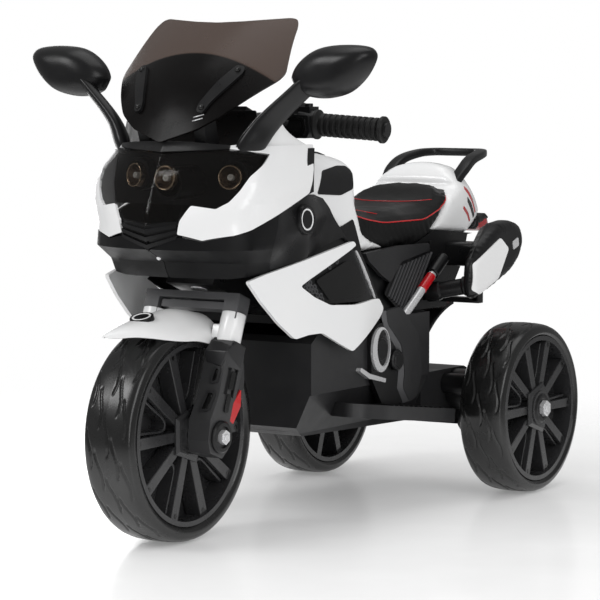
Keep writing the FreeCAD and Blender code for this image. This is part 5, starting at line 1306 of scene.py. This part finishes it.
panel("engine_frames", "charcoal",
      rounded([(34, 297), (74, 300), (125, 256), (136, 197), (120, 163), (97, 158), (80, 180), (84, 205),
               (75, 244), (40, 277)], 4), engine_frame, step=20.0, thick=9.0, edge=3.0)
FRAME_LIP = [(97, 158, -6, -3), (80, 180, -7, 0), (84, 205, -7, -1), (75, 244, -6, -4), (40, 277, -4, -6),
             (33, 297, -6, -1)]
# the lip is a real chamfer along the frame's inner edge, but its lighter grey than the charcoal frame is a
# painted highlight where the chamfer catches the light
lit_lips = grid("engine_frame_lit_lips", "case_grey",
            [[(engine_frame(y, z)[0] + 0.2, y + 1.5, z), (engine_frame(y, z)[0] - 1, y, z),
              (121.5, y + dy, z + dz)] for y, z, dy, dz in FRAME_LIP], outward, pair=True)
solidify(lit_lips, 2.0)
soften(lit_lips, 0.6)
panel("engine_crescents", "steel", oval(24, 241, 25, 33, 0, 351), flat_side(126), step=12.0, thick=4.0,
      edge=0.8, holes=(oval(29.5, 243, 18, 27, 0, 351),))
lathe("engine_discs", "black_satin", [(0, 2), (15, 2), (17, 0), (17, -6)], (123, 28, 241), (1, 0, 0), 48,
      pair=True)
lathe("engine_drums", "black_satin", [(0, 6), (10, 6), (11, 4.5), (14, 4.5), (16, 2), (16, -6)],
      (125, 66, 222), (1, 0, 0), 48, pair=True)
panel("engine_strips", "steel",
      rounded([(-31, 214), (-6, 201), (40, 191), (41, 197), (-4, 208), (-28, 219)], 2), flat_side(123),
      step=10.0, thick=8.0, edge=0.8)

# left footboard with a rounded nose and a ribbed tread
BOARD_FRONT, BOARD_HEIGHT, BOARD_SLOPE = -92, 175, 0.127
RIB_RISE, RIB_PITCH, RIB_WIDTH = 1.6, 14, 5


def board_top(x, y, out=0.0):
    return (x, y, BOARD_HEIGHT - BOARD_SLOPE * (y - BOARD_FRONT) + out)


def rib_top(x, y):
    return board_top(x, y, RIB_RISE)


board = panel("footboard_skin", "charcoal",
              rounded([(92, -62), (134, -84), (158, -64), (167, -30), (167, 172), (155, 180), (92, 180)], 9),
              board_top, upward, step=24.0, thick=20.0, edge=3.0, pair=False)
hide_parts("footboard_left")
for k in range(11):
    low, high = RIB_PITCH * k, RIB_PITCH * k + RIB_WIDTH
    panel(f"footboard_ribs_{k}", "black_satin",
          rounded([(126, low), (160, low), (160, high), (126, high)], 1), rib_top, upward, step=40.0,
          thick=3.0, edge=0.6, pair=False)

# slanted fins behind the engine, the plates above them, and the braces with red sleeves
FIN_WIDTH, FIN_SLANT = 2.0, 0.8
panel("fin_backs", "black_satin", rounded([(78, 317), (116, 364), (214, 378), (224, 346), (142, 276)], 4),
      flat_side(97.5), step=30.0, thick=2.0, edge=0.5)
for k in range(9):
    foot, low = 86 + 7 * k, 313 - 3.6 * k
    rise = (357 - low + 0.163 * (foot - 121)) / 0.87
    head, top = foot + FIN_SLANT * rise, low + rise
    panel(f"fin_edges_{k}", "case_grey",
          [(foot, low), (foot + FIN_WIDTH, low), (head + FIN_WIDTH, top), (head, top)], flat_side(100.5),
          step=40.0, thick=3.5, edge=0.3)
panel("subframe_plates", "charcoal",
      rounded([(16, 381), (110, 387), (200, 386), (202, 375), (119, 363), (87, 334), (62, 346), (24, 370)],
              4), flat_side(103), step=30.0, thick=7.0, edge=2.0)
BRACE_FOOT = Vector((108, 90.2, 264.5))
BRACE_RUN = Vector((0, 85, 58)).normalized()
rods = lathe("brace_rods", "steel", [(0, 0), (6, 1), (6.4, 3), (6.4, 154), (0, 154)], BRACE_FOOT, BRACE_RUN,
             32, pair=True)
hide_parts("frame_braces")
lathe("brace_sleeves", "red_gloss", [(6, 0), (7.6, 1), (7.6, 34), (6, 35)], BRACE_FOOT + BRACE_RUN * 94,
      BRACE_RUN, 32, pair=True)
lathe("brace_boots", "black_satin", [(6, 0), (9.5, 2), (9.5, 40), (7, 44), (0, 44)],
      BRACE_FOOT + BRACE_RUN * 132, BRACE_RUN, 32, pair=True)

# stage: a white floor that fades into a white backdrop, and five softboxes
FLOOR_HALF = 3
FLOOR_SOLID, FLOOR_END = 0.5, 1.6
FLOOR_GLOW = 0.2
SKY_GLOW, SKY_GLOSS_CUT = 0.7, -0.45
WHITE = (1, 1, 1, 1)


def stage_material():
    """White floor that fades into the white background away from the object."""
    look = Look("studio_floor")
    look.give(Base_Color=look.shade(look.noise(1.2), (0.93, 0.93, 0.93), (0.95, 0.95, 0.95)),
              Roughness=look.spread(look.noise(6.0), 0.16, 0.22))
    set_sockets(look.shader, Emission_Color=WHITE, Emission_Strength=FLOOR_GLOW)
    reach = look.tree.nodes.new("ShaderNodeVectorMath")
    reach.operation = "LENGTH"
    look.tree.links.new(look.place, reach.inputs[0])
    look.give(Alpha=look.ranged(reach.outputs["Value"], "SMOOTHSTEP", From_Min=FLOOR_SOLID,
                                From_Max=FLOOR_END, To_Min=1.0, To_Max=0.0))
    return look.material


floor_mesh = bpy.data.meshes.new("floor")
floor_mesh.from_pydata([(x * FLOOR_HALF, y * FLOOR_HALF, 0) for x, y in ((-1, -1), (1, -1), (1, 1), (-1, 1))],
                       [], [(0, 1, 2, 3)])
floor = bpy.data.objects.new("floor", floor_mesh)
scene.collection.objects.link(floor)
floor_mesh.materials.append(stage_material())

world = bpy.data.worlds.new("studio")
scene.world = world
world.use_nodes = True
sky = world.node_tree
backdrop = set_sockets(sky.nodes["Background"], Color=WHITE, Strength=1.0)
glow = set_sockets(sky.nodes.new("ShaderNodeBackground"), Color=WHITE)
rays = sky.nodes.new("ShaderNodeLightPath").outputs
dim = math_node(sky, "MULTIPLY_ADD", rays["Is Glossy Ray"], SKY_GLOSS_CUT, SKY_GLOW)
seen = math_node(sky, "MAXIMUM", rays["Is Camera Ray"], rays["Is Transmission Ray"])
choose = sky.nodes.new("ShaderNodeMixShader")
for value, socket in ((dim, glow.inputs["Strength"]), (seen, choose.inputs["Fac"]),
                      (glow.outputs["Background"], choose.inputs[1]),
                      (backdrop.outputs["Background"], choose.inputs[2]),
                      (choose.outputs["Shader"], sky.nodes["World Output"].inputs["Surface"])):
    sky.links.new(value, socket)


def softbox(name, spot, aim, size, power):
    light = bpy.data.lights.new(name, "AREA")
    light.shape = "RECTANGLE"
    light.size, light.size_y = size
    light.energy = power
    lamp = bpy.data.objects.new(name, light)
    lamp.location = spot
    lamp.rotation_euler = (Vector(spot) - Vector(aim)).to_track_quat("Z", "Y").to_euler()
    lamp.visible_camera = False
    scene.collection.objects.link(lamp)


softbox("key", (-1.6, -2.6, 2.4), (0, 0, 0.35), (1.4, 1.4), 38)
softbox("fill", (2.6, -1.2, 1.8), (0, 0, 0.35), (1.2, 1.6), 18)
softbox("top", (0, 0.3, 2.8), (0, 0, 0.3), (2.0, 2.0), 15)
softbox("side", (2.2, -1.9, 0.6), (0, 0, 0.25), (0.4, 1.3), 7)
softbox("back", (-2.4, 1.9, 0.7), (0, 0, 0.4), (1.2, 1.4), 12)

scene.view_layers[0].update()
